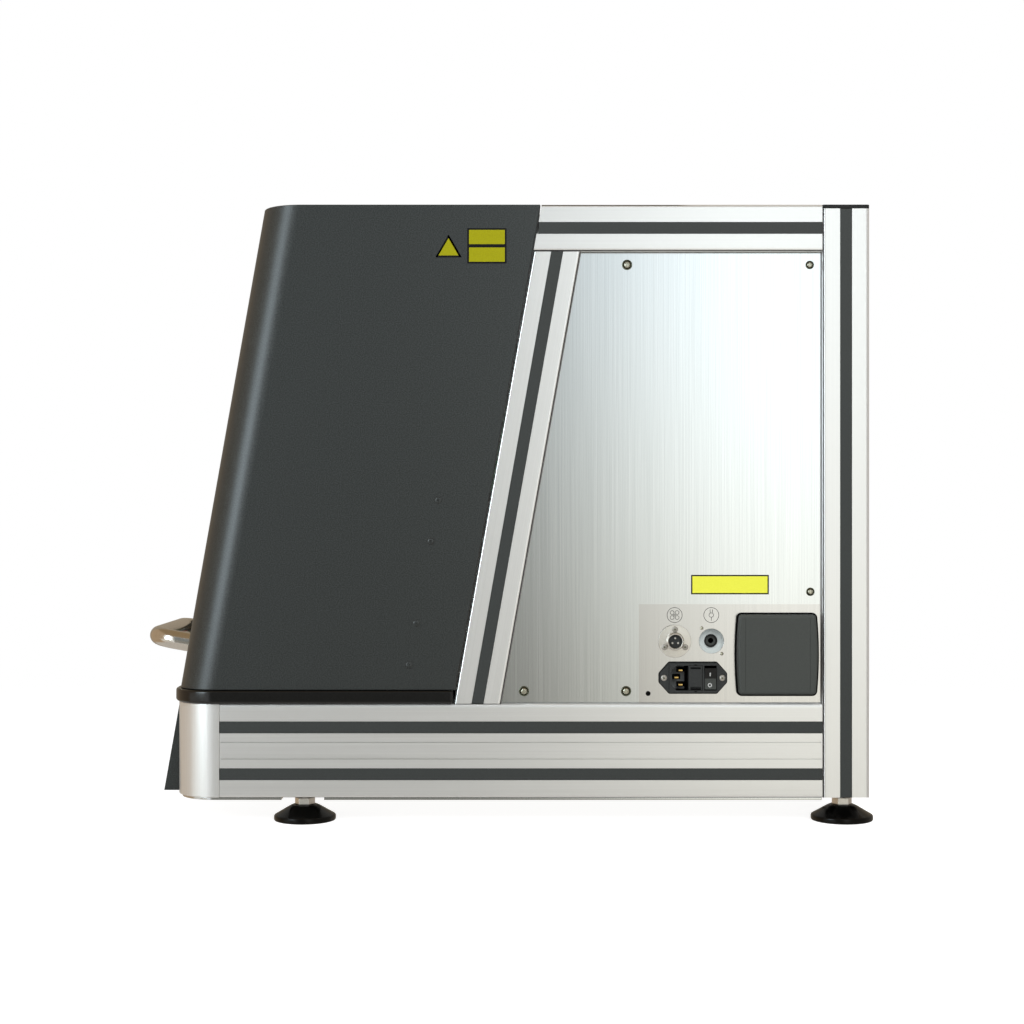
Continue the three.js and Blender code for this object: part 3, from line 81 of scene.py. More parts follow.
def linear(value):
    share = value / SCREEN_WHITE
    if share <= TOE_END:
        return share / TOE_SLOPE
    return ((share + CURVE_OFFSET) / (1 + CURVE_OFFSET)) ** CURVE_POWER


def screen(red, green, blue):
    return (linear(red), linear(green), linear(blue), 1.0)


print("Screen grey 128 is linear", round(linear(128), 3))

# %% [markdown]
# Two effects are shared by several finishes: drawn lines run along extrusions and brushed sheet, and
# fine grain sits in powder coat and moulded plastic. Each could be rebuilt in every material, but as a
# node group it is made once. It puts out one mask, and every material sets its own stretch.

# %% Node groups for the shared effects
NOISE_ROUGHNESS = 0.6
LINES_STRETCH = (900.0, 900.0, 4.0)
GRAIN_STRETCH = (900.0, 900.0, 900.0)


def new_group(name, inputs):
    group = bpy.data.node_groups.new(name, "ShaderNodeTree")
    for label, value in inputs:
        socket = group.interface.new_socket(label, in_out="INPUT", socket_type="NodeSocketVector")
        socket.default_value = value
    group.interface.new_socket("Mask", in_out="OUTPUT", socket_type="NodeSocketFloat")
    return group, group.nodes.new("NodeGroupInput"), group.nodes.new("NodeGroupOutput")


def range_node(tree, value, low, high, to_low=0.0, to_high=1.0, shape="LINEAR"):
    mapped = tree.nodes.new("ShaderNodeMapRange")
    mapped.interpolation_type = shape
    mapped.inputs["From Min"].default_value = low
    mapped.inputs["From Max"].default_value = high
    mapped.inputs["To Min"].default_value = to_low
    mapped.inputs["To Max"].default_value = to_high
    tree.links.new(value, mapped.inputs["Value"])
    return mapped.outputs["Result"]


def stretched_noise_group(name, stretch, detail, low, high):
    group, start, end = new_group(name, (("Vector", (0.0, 0.0, 0.0)), ("Stretch", stretch)))
    product = group.nodes.new("ShaderNodeVectorMath")
    product.operation = "MULTIPLY"
    group.links.new(start.outputs["Vector"], product.inputs[0])
    group.links.new(start.outputs["Stretch"], product.inputs[1])
    noise = group.nodes.new("ShaderNodeTexNoise")
    noise.inputs["Scale"].default_value = 1.0
    noise.inputs["Detail"].default_value = detail
    noise.inputs["Roughness"].default_value = NOISE_ROUGHNESS
    group.links.new(product.outputs["Vector"], noise.inputs["Vector"])
    group.links.new(range_node(group, noise.outputs["Fac"], low, high), end.inputs["Mask"])
    return group


drawn_lines = stretched_noise_group("drawn lines", LINES_STRETCH, detail=3.0, low=0.3, high=0.7)
fine_grain = stretched_noise_group("fine grain", GRAIN_STRETCH, detail=1.5, low=0.35, high=0.65)
print("Shared effects:", [group.name for group in bpy.data.node_groups])

# %% [markdown]
# A material starts as one Principled shader with its plain values on the shader's own sockets. Masks
# then mix two shades for the base colour, spread the roughness a little, or raise a faint relief.

# %% Helpers that build materials
ORIGIN = (0.0, 0.0, 0.0)
MIX_FIRST = 6
MIX_SECOND = 7
MIX_RESULT = 2


def plain_material(name, color, roughness, metallic=0.0):
    made = bpy.data.materials.new(name)
    made.use_nodes = True
    shader = made.node_tree.nodes["Principled BSDF"]
    shader.inputs["Base Color"].default_value = color
    shader.inputs["Roughness"].default_value = roughness
    shader.inputs["Metallic"].default_value = metallic
    made.diffuse_color = color
    return made


def shader_input(made, label):
    return made.node_tree.nodes["Principled BSDF"].inputs[label]


def object_vector(made, turn=ORIGIN):
    nodes = made.node_tree.nodes
    coordinates = nodes.new("ShaderNodeTexCoord")
    mapping = nodes.new("ShaderNodeMapping")
    mapping.inputs["Rotation"].default_value = turn
    made.node_tree.links.new(coordinates.outputs["Object"], mapping.inputs["Vector"])
    return mapping.outputs["Vector"]


def effect(made, group, vector, stretch):
    node = made.node_tree.nodes.new("ShaderNodeGroup")
    node.node_tree = group
    node.inputs["Stretch"].default_value = stretch
    made.node_tree.links.new(vector, node.inputs["Vector"])
    return node.outputs["Mask"]


print("Two shades of a mix enter at sockets", MIX_FIRST, "and", MIX_SECOND)


# %% Masks on colour, roughness and relief
def mix_colors(made, mask, first, second):
    mix = made.node_tree.nodes.new("ShaderNodeMix")
    mix.data_type = "RGBA"
    made.node_tree.links.new(mask, mix.inputs["Factor"])
    for index, color in ((MIX_FIRST, first), (MIX_SECOND, second)):
        if isinstance(color, bpy.types.NodeSocket):
            made.node_tree.links.new(color, mix.inputs[index])
        else:
            mix.inputs[index].default_value = color
    return mix.outputs[MIX_RESULT]


def color_by(made, mask, first, second):
    mixed = mix_colors(made, mask, first, second)
    made.node_tree.links.new(mixed, shader_input(made, "Base Color"))


def roughness_by(made, mask, low, high):
    result = range_node(made.node_tree, mask, 0.0, 1.0, low, high)
    made.node_tree.links.new(result, shader_input(made, "Roughness"))


def relief_by(made, mask, strength, distance):
    bump = made.node_tree.nodes.new("ShaderNodeBump")
    bump.inputs["Strength"].default_value = strength
    bump.inputs["Distance"].default_value = distance
    made.node_tree.links.new(mask, bump.inputs["Height"])
    made.node_tree.links.new(bump.outputs["Normal"], shader_input(made, "Normal"))


print("The mixed shade leaves at socket", MIX_RESULT)

# %% [markdown]
# The frame is clear anodised extrusion: satin metal whose die lines run along each bar. The noise is
# squeezed across the bar and drawn out along it, so there is one version of the finish for each
# direction that a bar lies in. The leaning posts turn the pattern by their own lean.

# %% Anodised extrusion
LEAN = math.radians(10)
LINE_FINE = 700.0
LINE_LONG = 3.0
HAIR_DEPTH = 0.00002
DIE_RELIEF = 0.04
DIE_ROUGHNESS = (0.28, 0.34)
ANODISED_SHARE = 0.65
ALUMINIUM_PLAIN = screen(230, 231, 229)
ALUMINIUM_DARK = screen(226, 226, 224)
ALUMINIUM_LIGHT = screen(231, 231, 229)

along_stretches = {
    "x": (LINE_LONG, LINE_FINE, LINE_FINE),
    "y": (LINE_FINE, LINE_LONG, LINE_FINE),
    "z": (LINE_FINE, LINE_FINE, LINE_LONG),
}


def extrusion_finish(name, direction, turn=ORIGIN):
    made = plain_material(name, ALUMINIUM_PLAIN, DIE_ROUGHNESS[1], ANODISED_SHARE)
    lines = effect(made, drawn_lines, object_vector(made, turn), along_stretches[direction])
    color_by(made, lines, ALUMINIUM_DARK, ALUMINIUM_LIGHT)
    roughness_by(made, lines, *DIE_ROUGHNESS)
    relief_by(made, lines, DIE_RELIEF, HAIR_DEPTH)
    return made


aluminium = {
    "x": extrusion_finish("extruded aluminium across", "x"),
    "y": extrusion_finish("extruded aluminium lengthwise", "y"),
    "z": extrusion_finish("extruded aluminium upright", "z"),
    "lean": extrusion_finish("extruded aluminium leaning", "z", (LEAN, 0.0, 0.0)),
}
print("Extrusion finishes:", len(aluminium))

# %% [markdown]
# The panels are brushed sheet. Their brush lines run upright: some streaks are a few millimetres wide
# and some are hair fine, so two masks are laid over each other. Round the sockets the right panel
# wears a smooth clear film, which hides most of the brushing. The film ends on two straight lines, so
# two steps on the coordinates are multiplied into its mask.

# %% Brushed sheet, bare and under a film
STREAK_WIDE = (520.0, 520.0, 1.8)
STREAK_FINE = (1000.0, 1000.0, 5.0)
STREAK_DARK = screen(216, 219, 220)
STREAK_LIGHT = screen(224, 226, 227)
BRUSH_DARK = screen(206, 209, 210)
BRUSH_PLAIN = screen(226, 229, 230)
BRUSH_ROUGHNESS = (0.14, 0.20)
BRUSH_RELIEF = 0.10
FILM_DARK = screen(201, 200, 200)
FILM_LIGHT = screen(207, 206, 205)
FILM_FRONT = 0.1425
FILM_TOP = 0.2105
FILM_EDGE = 0.0002


def film_mask(made):
    tree = made.node_tree
    split = tree.nodes.new("ShaderNodeSeparateXYZ")
    tree.links.new(object_vector(made), split.inputs["Vector"])
    behind = range_node(tree, split.outputs["Y"], FILM_FRONT - FILM_EDGE, FILM_FRONT + FILM_EDGE)
    below = range_node(tree, split.outputs["Z"], FILM_TOP + FILM_EDGE, FILM_TOP - FILM_EDGE)
    product = tree.nodes.new("ShaderNodeMath")
    product.operation = "MULTIPLY"
    tree.links.new(behind, product.inputs[0])
    tree.links.new(below, product.inputs[1])
    return product.outputs["Value"]


def brushed_finish(name, filmed):
    made = plain_material(name, BRUSH_PLAIN, BRUSH_ROUGHNESS[1], 1.0)
    vector = object_vector(made)
    wide = effect(made, drawn_lines, vector, STREAK_WIDE)
    fine = effect(made, drawn_lines, vector, STREAK_FINE)
    streaks = mix_colors(made, wide, STREAK_DARK, STREAK_LIGHT)
    brushed = mix_colors(made, fine, BRUSH_DARK, streaks)
    if filmed:
        filmy = mix_colors(made, fine, FILM_DARK, FILM_LIGHT)
        color_by(made, film_mask(made), brushed, filmy)
    else:
        made.node_tree.links.new(brushed, shader_input(made, "Base Color"))
    roughness_by(made, wide, *BRUSH_ROUGHNESS)
    relief_by(made, fine, BRUSH_RELIEF, HAIR_DEPTH)
    return made


brushed_sheet = brushed_finish("brushed sheet", False)
filmed_sheet = brushed_finish("brushed sheet with film", True)
print("Film begins at", FILM_FRONT, "m and ends", FILM_TOP, "m up")

# %% [markdown]
# Every other finish is a fine grain between a darker and a lighter shade, with its own grain size,
# relief, roughness and gleam. Hood and lower front panel are powder coated in a dark grey with a faint
# green cast. Close up the coat is speckled: lighter grains less than a millimetre wide.

# %% Powder coats and dark metals
GRAIN_SIZE = 800.0
GRAIN_RELIEF = 0.06
GRAIN_DEPTH = 0.00005
SOFT_GLEAM = 0.3
METAL_GLEAM = 0.5


def grained(name, dark, light, rough, metal=0.0, size=GRAIN_SIZE, relief=GRAIN_RELIEF, gleam=SOFT_GLEAM):
    made = plain_material(name, screen(*light), rough[1], metal)
    grain = effect(made, fine_grain, object_vector(made), (size, size, size))
    color_by(made, grain, screen(*dark), screen(*light))
    roughness_by(made, grain, *rough)
    relief_by(made, grain, relief, GRAIN_DEPTH)
    shader_input(made, "Specular IOR Level").default_value = METAL_GLEAM if metal else gleam
    return made


hood_paint = grained(
    "hood powder coat", (30, 33, 33), (54, 58, 57), (0.30, 0.38), size=950.0, relief=0.08, gleam=0.5
)
inner_sheet = grained(
    "inner powder coat", (40, 42, 41), (52, 54, 53), (0.55, 0.65), size=900.0, relief=0.10
)
black_anodised = grained(
    "black anodised metal", (30, 31, 34), (40, 41, 44), (0.36, 0.46), metal=0.5, size=900.0
)
machined_metal = grained(
    "machined slide metal",
    (200, 200, 198),
    (214, 214, 211),
    (0.30, 0.40),
    metal=1.0,
    size=600.0,
    relief=0.05,
)
print("Coats:", hood_paint.name, inner_sheet.name, black_anodised.name, machined_metal.name)

# %% [markdown]
# Moulded plastic and rubber are never one flat tone: a mould leaves a fine texture, which breaks up
# the highlight. The seal and the feet are nearly smooth, so their relief is close to nothing.

# %% Plastics and rubber
slot_plastic = grained("slot strip plastic", (52, 55, 54), (57, 60, 59), (0.48, 0.56))
black_plastic = grained("black moulded plastic", (18, 18, 18), (26, 26, 26), (0.36, 0.46), relief=0.10)
flange_plastic = grained("inlet flange plastic", (42, 44, 44), (50, 52, 52), (0.42, 0.52), relief=0.08)
# The same grey is the fan cover's plastic and painted light on the rocker's lower half.
cover_plastic_and_painted_light = grained("fan cover plastic and painted light", (61, 64, 62), (68, 71, 68), (0.45, 0.55), size=1200.0)
# The inlet's cavity floor is lighter than its plastic: painted light against the deep cavity's shade.
floor_plastic_painted_light = grained("inlet floor plastic, painted light", (104, 108, 108), (114, 118, 118), (0.50, 0.60))
pale_plastic = grained("pale socket plastic", (192, 200, 199), (200, 208, 206), (0.42, 0.50))
seal_rubber = grained(
    "seal rubber", (9, 9, 9), (12, 12, 12), (0.16, 0.20), size=500.0, relief=0.004, gleam=0.5
)
foot_rubber = grained(
    "foot rubber", (3, 3, 3), (5, 5, 4), (0.20, 0.24), size=700.0, relief=0.004, gleam=0.20
)
red_plastic = grained("red button plastic", (176, 24, 18), (190, 32, 24), (0.30, 0.38), size=700.0)
green_plastic = grained("green button plastic", (30, 130, 62), (38, 142, 70), (0.30, 0.38), size=700.0)
print("Materials so far:", len(bpy.data.materials))

# %% [markdown]
# Small metal parts differ in tone more than in form: screws are bright steel, their washers dull, the
# socket shell nickel, the handle polished, and the inlet's pins gold.

# %% Bright metals
bright_steel = grained(
    "bright screw steel", (186, 184, 168), (200, 198, 182), (0.26, 0.34), metal=1.0, size=700.0, relief=0.03
)
ground_steel = grained(
    "ground guide steel", (168, 168, 166), (184, 184, 182), (0.24, 0.34), metal=1.0, size=500.0, relief=0.04
)
polished_steel = grained(
    "polished handle steel",
    (212, 207, 198),
    (217, 212, 203),
    (0.17, 0.19),
    metal=1.0,
    size=300.0,
    relief=0.001,
)
nickel = grained(
    "nickel socket shell", (228, 224, 217), (236, 232, 225), (0.36, 0.46), metal=1.0, relief=0.02
)
satin_steel = grained(
    "satin screw steel", (178, 174, 167), (188, 184, 177), (0.40, 0.50), metal=0.8, relief=0.03
)
# Dull steel for washers, and painted shade in the recess of small screw heads.
washer_steel_and_recess_shade = grained(
    "dull washer steel and painted recess shade", (112, 115, 96), (128, 130, 110), (0.34, 0.42), metal=1.0, relief=0.03
)
gold_pins = grained(
    "gold plated pins", (208, 172, 100), (222, 188, 116), (0.20, 0.28), metal=1.0, size=500.0, relief=0.03
)
print("Materials so far:", len(bpy.data.materials))

# %% [markdown]
# Prints and inks are matt and almost without relief. The yellow on the hood has weathered to a dull
# tone, while the plate on the panel is still fresh. The safety window is a tinted sheet that lets most
# light through, so it is the one finish with transmission.

# %% Prints, inks and glass
plate_yellow = grained(
    "yellow plate print", (229, 231, 66), (235, 237, 76), (0.38, 0.46), size=1200.0, relief=0.01
)
hood_yellow = grained(
    "weathered yellow plate print",
    (148, 146, 2),
    (157, 155, 4),
    (0.45, 0.53),
    size=1200.0,
    relief=0.01,
    gleam=0.15,
)
plate_black = grained(
    "black plate print", (8, 8, 10), (13, 13, 15), (0.48, 0.56), size=500.0, relief=0.03, gleam=0.2
)
icon_ink = grained("grey icon ink", (62, 62, 60), (74, 74, 72), (0.5, 0.6), relief=0.03)
mark_ink = grained("white mark ink", (188, 190, 188), (200, 202, 200), (0.45, 0.55), relief=0.03)
# Near black: painted shade in gaps, holes, wells, pockets and slots, and the black of the inlet gasket and
# the fan cover's frame.
near_black_and_shade = grained("near black and painted shade", (5, 5, 5), (8, 8, 8), (0.7, 0.8), size=600.0, relief=0.05, gleam=0.1)
WINDOW_ROUGHNESS = 0.06
WINDOW_SHARE = 0.85
WINDOW_BENDING = 1.49
safety_glass = plain_material("tinted safety window", screen(40, 150, 70), WINDOW_ROUGHNESS)
shader_input(safety_glass, "Transmission Weight").default_value = WINDOW_SHARE
shader_input(safety_glass, "IOR").default_value = WINDOW_BENDING
print("Materials for the object:", len(bpy.data.materials))

# %% [markdown]
# Every new piece is finished in the same way: its mesh gets outward normals, smooth shading with sharp
# edges kept, its materials, and a body to ride on. A copied CAD mesh carries normals of its own, which
# would fight with the new edges, so they are dropped. A weighted normal modifier then keeps wide flat
# faces flat where they meet a narrow rounded edge.

# %% Finishing a piece
SHARP = math.radians(56)
MERGE = 0.000002
CARRIED_NORMALS = "custom_normal"


def finish_piece(bm, name, body, materials, nodes=()):
    bmesh.ops.remove_doubles(bm, verts=bm.verts, dist=MERGE)
    bmesh.ops.recalc_face_normals(bm, faces=bm.faces)
    for edge in bm.edges:
        edge.smooth = not edge.is_manifold or edge.calc_face_angle() < SHARP
    mesh = bpy.data.meshes.new(name)
    bm.to_mesh(mesh)
    bm.free()
    if CARRIED_NORMALS in mesh.attributes:
        mesh.attributes.remove(mesh.attributes[CARRIED_NORMALS])
    for made in materials:
        mesh.materials.append(made)
    mesh.shade_smooth()
    piece = bpy.data.objects.new(name, mesh)
    bpy.context.scene.collection.objects.link(piece)
    even = piece.modifiers.new("even normals", "WEIGHTED_NORMAL")
    even.keep_sharp = True
    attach(piece, body)
    if nodes:
        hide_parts(*nodes)


def body_of(node):
    return frame["nodes"][node]["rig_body"]


def middle_of(node):
    low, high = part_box(node)
    return (low + high) / 2


print("Edges over", round(math.degrees(SHARP)), "degrees stay sharp")

# %% [markdown]
# Most shapes below are a flat outline that is pulled out and rounded, so those moves get short names.
# Blender's operators return everything that they made in one list, and a small filter picks the faces
# or the corner points out of it. A pull that drops the faces it started from leaves a pocket or a bar
# with no wall inside it.

# %% Pulling and rounding
def faces_of(result):
    return [item for item in result["geom"] if isinstance(item, bmesh.types.BMFace)]


def verts_of(result):
    return [item for item in result["geom"] if isinstance(item, bmesh.types.BMVert)]


def extruded(bm, faces, step):
    made = bmesh.ops.extrude_face_region(bm, geom=faces)
    bmesh.ops.translate(bm, vec=step, verts=verts_of(made))
    return faces_of(made)


def pulled(bm, faces, step):
    ends = extruded(bm, faces, step)
    bmesh.ops.delete(bm, geom=[face for face in faces if face.is_valid], context="FACES_ONLY")
    return ends


def bevelled(bm, geometry, width, segments, affect="EDGES", clamp=False):
    bmesh.ops.bevel(
        bm,
        geom=geometry,
        offset=width,
        segments=segments,
        affect=affect,
        profile=0.5,
        material=-1,
        clamp_overlap=clamp,
    )


def slice_at(bm, axis, positions):
    normal = Vector((0, 0, 0))
    normal[axis] = 1
    for position in positions:
        geometry = list(bm.verts) + list(bm.edges) + list(bm.faces)
        bmesh.ops.bisect_plane(bm, geom=geometry, plane_co=normal * position, plane_no=normal, dist=MERGE)


print("Points closer than", 1000 * MERGE, "mm count as one")

# %% [markdown]
# A sawn or folded piece of metal never has a knife edge. A copy of the CAD node has its loose
# triangles merged and its flat faces joined, and then every sharp edge gets a tiny rounded bevel that
# catches the light. On a bar the outermost long edges are rounded further, as its die makes them.

# %% Softened copies of CAD nodes
FLAT = math.radians(1)
CORNER = math.radians(42)
SMALL_EDGE = 0.0004
BAR_EDGE = 0.0006
BAR_ROUND = 0.0016
BAR_STEPS = 4
ALONG_SHARE = 0.9
CORNER_SHARE = 0.95


def merged_copy(node):
    bm = bmesh.new()
    bm.from_mesh(frame["nodes"][node].data)
    bmesh.ops.remove_doubles(bm, verts=bm.verts, dist=MERGE)
    bmesh.ops.dissolve_limit(bm, angle_limit=FLAT, verts=bm.verts, edges=bm.edges)
    return bm


def soften(bm, width, segments=2):
    corners = [edge for edge in bm.edges if edge.is_manifold and edge.calc_face_angle() > CORNER]
    bevelled(bm, corners, width, segments, clamp=True)


def round_long_edges(bm, axis):
    center = sum((v.co for v in bm.verts), Vector()) / len(bm.verts)

    def reach(v):
        offset = v.co - center
        return (offset - axis * offset.dot(axis)).length

    widest = max(reach(v) for v in bm.verts)
    outer = []
    for edge in bm.edges:
        first, second = edge.verts
        along = abs((second.co - first.co).normalized().dot(axis)) > ALONG_SHARE
        if along and min(reach(first), reach(second)) > CORNER_SHARE * widest:
            outer.append(edge)
    bevelled(bm, outer, BAR_ROUND, BAR_STEPS)


def softened(node, made, width=SMALL_EDGE):
    bm = merged_copy(node)
    soften(bm, width)
    finish_piece(bm, node + "_dressed", body_of(node), [made], [node])


print("Edges in mm:", 1000 * SMALL_EDGE, 1000 * BAR_EDGE, 1000 * BAR_ROUND)

# %% [markdown]
# Turned things such as feet, buttons, screws and round sockets come from one half section that is
# spun about its axis. The section is written as radius and height along the axis, then the finished
# form is turned from upright to its own direction and moved into place. Where one turned piece shows
# several finishes, rings of faces take theirs by their distance from the axis.

# %% Turned pieces
TURN_STEPS = 48
UP = Vector((0, 0, 1))
OUT = Vector((1, 0, 0))


def spun(section, steps=TURN_STEPS):
    bm = bmesh.new()
    points = [bm.verts.new((radius, 0, height)) for radius, height in section]
    edges = [bm.edges.new(pair) for pair in zip(points, points[1:])]
    bmesh.ops.spin(
        bm,
        geom=points + edges,
        cent=ORIGIN,
        axis=UP,
        angle=2 * math.pi,
        steps=steps,
        use_merge=True,
    )
    bmesh.ops.remove_doubles(bm, verts=bm.verts, dist=MERGE)
    return bm


def aim(bm, direction, place):
    turn = UP.rotation_difference(Vector(direction)).to_matrix().to_4x4()
    bmesh.ops.transform(bm, matrix=Matrix.Translation(place) @ turn, verts=bm.verts)


def turned(name, section, direction, place, body, materials, nodes=(), steps=TURN_STEPS, zones=()):
    bm = spun(section, steps)
    for face in bm.faces:
        middle = sum(v.co.xy.length for v in face.verts) / len(face.verts)
        face.material_index = sum(middle > limit for limit in zones)
    aim(bm, direction, place)
    finish_piece(bm, name, body, materials, nodes)


print("A full turn has", TURN_STEPS, "steps")

# %% [markdown]
# Many details lie on the right side, so they are drawn as they are seen from there: local X runs to
# the back, local Y up, and local Z out of the side. One fixed turn puts such a drawing in its place.

# %% Drawings on the right side
FACING_RIGHT = Matrix(((0, 0, 1, 0), (1, 0, 0, 0), (0, 1, 0, 0), (0, 0, 0, 1)))


def put_right(bm, out, back, up):
    place = Matrix.Translation((out, back, up))
    bmesh.ops.transform(bm, matrix=place @ FACING_RIGHT, verts=bm.verts)


def rectangle(bm, width, height, middle=(0, 0), level=0.0):
    made = bmesh.ops.create_grid(bm, x_segments=1, y_segments=1, size=0.5)
    bmesh.ops.scale(bm, vec=(width, height, 1), verts=made["verts"])
    bmesh.ops.translate(bm, vec=(*middle, level), verts=made["verts"])
    return made["verts"][0].link_faces[0]


def round_corners(bm, face, radius, segments=4):
    bevelled(bm, list(face.verts), radius, segments, "VERTICES")
    return max(bm.faces, key=lambda item: item.calc_area())


def raised(bm, face, height):
    extruded(bm, [face], (0, 0, height))


def faces_within(bm, near, far, half, level):
    found = []
    for face in bm.faces:
        middle = face.calc_center_median()
        if near < middle.x < far and abs(middle.y) < half and abs(middle.z - level) < MERGE:
            found.append(face)
    return found


print("Drawings turn from", tuple(UP), "to", tuple(FACING_RIGHT.to_3x3() @ UP))

# %% [markdown]
# The frame's bars are T-slot extrusions, and their CAD sections are already true, so they are softened
# copies. The base rails also carry two fine decorative grooves between their slots. Each groove is cut
# by slicing the bar along both of its edges and sinking the narrow face between them. At a mitre the
# rounding can push a point a hair past the bar's end, so every point is kept within the bar's own box.

# %% Frame bars
RIGHT_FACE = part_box("base_rail_right")[1].x
GROOVE_LEVELS = (0.0622, 0.0782)
GROOVE_WIDTH = 0.0009
GROOVE_DEPTH = 0.0015
GROOVE_WALL = 0.00005
sides = (("right", 1), ("left", -1))


def cut_groove(bm, level, sign):
    slice_at(bm, 2, (level - GROOVE_WIDTH / 2, level + GROOVE_WIDTH / 2))
    sunk = []
    for face in bm.faces:
        middle = face.calc_center_median()
        outside = abs(middle.x - sign * RIGHT_FACE) < MERGE
        if outside and abs(middle.z - level) < GROOVE_WIDTH / 2:
            sunk.append(face)
    bmesh.ops.inset_region(bm, faces=sunk, thickness=GROOVE_WALL, depth=-GROOVE_DEPTH)


def keep_within(bm, node):
    low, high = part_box(node)
    for v in bm.verts:
        for axis in range(3):
            v.co[axis] = min(max(v.co[axis], low[axis]), high[axis])


def frame_bar(node, direction, axis, levels=(), sign=1):
    bm = merged_copy(node)
    round_long_edges(bm, Vector(axis))
    soften(bm, BAR_EDGE)
    keep_within(bm, node)
    for level in levels:
        cut_groove(bm, level, sign)
    finish_piece(bm, node + "_dressed", "machine", [aluminium[direction]], [node])


for side, sign in sides:
    frame_bar(f"base_rail_{side}", "y", (0, 1, 0), GROOVE_LEVELS, sign)
    frame_bar(f"top_rail_{side}", "y", (0, 1, 0))
    frame_bar(f"rear_post_{side}", "z", (0, 0, 1))
    frame_bar(f"slanted_post_{side}", "lean", (0, math.sin(LEAN), math.cos(LEAN)))
for node in ("front_base_beam", "rear_base_beam", "rear_top_beam"):
    frame_bar(node, "x", (1, 0, 0))
print("Right face of the frame at", round(RIGHT_FACE, 4), "m")

# %% [markdown]
# The front corners of the base are short rounded extrusions. A square is given one rounded corner,
# its middle is taken out, and the ring that is left is pulled up to full height. The left corner is
# the right one with a negative scale, and its normals are set outward again when it is finished.

# %% Rounded base corners
CORNER_ROUND = 0.040
CORNER_WALL = 0.004
CORNER_STEPS = 14
corner_low, corner_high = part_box("base_corner_right")
corner_size = corner_high - corner_low
corner_middle = (corner_low + corner_high) / 2
for side, sign in sides:
    corner = bmesh.new()
    middle = (corner_middle.x, corner_middle.y)
    square = rectangle(corner, corner_size.x, corner_size.y, middle, corner_low.z)
    front = [v for v in square.verts if v.co.y < corner_middle.y and v.co.x > corner_middle.x]
    bevelled(corner, front, CORNER_ROUND, CORNER_STEPS, "VERTICES")
    outline = max(corner.faces, key=lambda face: face.calc_area())
    bmesh.ops.inset_individual(corner, faces=[outline], thickness=CORNER_WALL, use_even_offset=True)
    inner = max(corner.faces, key=lambda face: len(face.verts))
    bmesh.ops.delete(corner, geom=[inner], context="FACES")
    extruded(corner, list(corner.faces), (0, 0, corner_size.z))
    bmesh.ops.recalc_face_normals(corner, faces=corner.faces)
    soften(corner, BAR_EDGE)
    if sign < 0:
        bmesh.ops.scale(corner, vec=(-1, 1, 1), verts=corner.verts)
    name = f"base_corner_{side}"
    finish_piece(corner, name + "_dressed", "machine", [aluminium["z"]], [name])
    softened(f"post_cap_{side}", black_plastic)
print("Corner section in mm:", [round(1000 * value, 1) for value in corner_size])

# %% [markdown]
# Every slot that faces outward is closed with a snapped-in dark strip that lies almost flush. It could
# be a dark stripe in the bar's material, but a real strip catches light on its own small edges. It is
# drawn as its cross section at one end of the slot and pulled along the whole run.

# %% Slot cover strips
STRIP_WIDTH = 0.0113
STRIP_DEPTH = 0.0030
STRIP_SUNK = 0.0002
STRIP_EDGE = 0.0004
HALF_BAR = 0.0225
BASE_SLOTS = (("low", 0.0475), ("high", 0.0925))


def strip(name, start, run, across, outward):
    bm = bmesh.new()
    start = Vector(start) - STRIP_SUNK * Vector(outward)
    deep = -STRIP_DEPTH * Vector(outward)
    half = Vector(across) / 2
    section = [bm.verts.new(start + offset) for offset in (-half, half, half + deep, deep - half)]
    extruded(bm, [bm.faces.new(section)], run)
    bmesh.ops.recalc_face_normals(bm, faces=bm.faces)
    soften(bm, STRIP_EDGE)
    finish_piece(bm, name, "machine", [slot_plastic])


print("Strip section in mm:", round(1000 * STRIP_WIDTH, 1), round(1000 * STRIP_DEPTH, 1))

# %% Strips on both sides
SLOPE = math.tan(LEAN)
BACKWARD = (0, 1, 0)
across_x = (STRIP_WIDTH, 0, 0)
across_y = (0, STRIP_WIDTH, 0)
across_z = (0, 0, STRIP_WIDTH)
across_lean = (0, STRIP_WIDTH / math.cos(LEAN), 0)
rail_low, rail_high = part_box("base_rail_right")
top_low, top_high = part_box("top_rail_right")
post_low, post_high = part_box("rear_post_right")
slant_low, slant_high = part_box("slanted_post_right")
post_middle = (post_low.y + post_high.y) / 2
slant_height = slant_high.z - slant_low.z
slant_middle = slant_low.y + HALF_BAR / math.cos(LEAN)
rail_middle = (top_low.z + top_high.z) / 2
top_start = top_low.y + SLOPE * (rail_middle - top_low.z) + STRIP_WIDTH * SLOPE / 2
upper_start = top_low.y + SLOPE * (top_high.z - top_low.z)
post_run = (0, 0, post_high.z - post_low.z)
slant_run = (0, SLOPE * slant_height, slant_height)
base_run = (0, rail_high.y - rail_low.y, 0)
top_run = (0, top_high.y - top_start, 0)
upper_run = (0, top_high.y - upper_start, 0)
for side, sign in sides:
    outer = sign * RIGHT_FACE
    core = sign * (RIGHT_FACE - HALF_BAR)
    outward = (sign, 0, 0)
    for label, level in BASE_SLOTS:
        strip(f"strip_base_{label}_{side}", (outer, rail_low.y, level), base_run, across_z, outward)
    strip(f"strip_rear_post_{side}", (outer, post_middle, post_low.z), post_run, across_y, outward)
    strip(f"strip_rear_post_back_{side}", (core, post_high.y, post_low.z), post_run, across_x, BACKWARD)
    strip(f"strip_slanted_post_{side}", (outer, slant_middle, slant_low.z), slant_run, across_lean, outward)
    strip(f"strip_top_rail_{side}", (outer, top_start, rail_middle), top_run, across_z, outward)
    strip(f"strip_top_rail_upper_{side}", (core, upper_start, top_high.z), upper_run, across_x, UP)
print("Strips along the base run", round(1000 * base_run[1]), "mm")

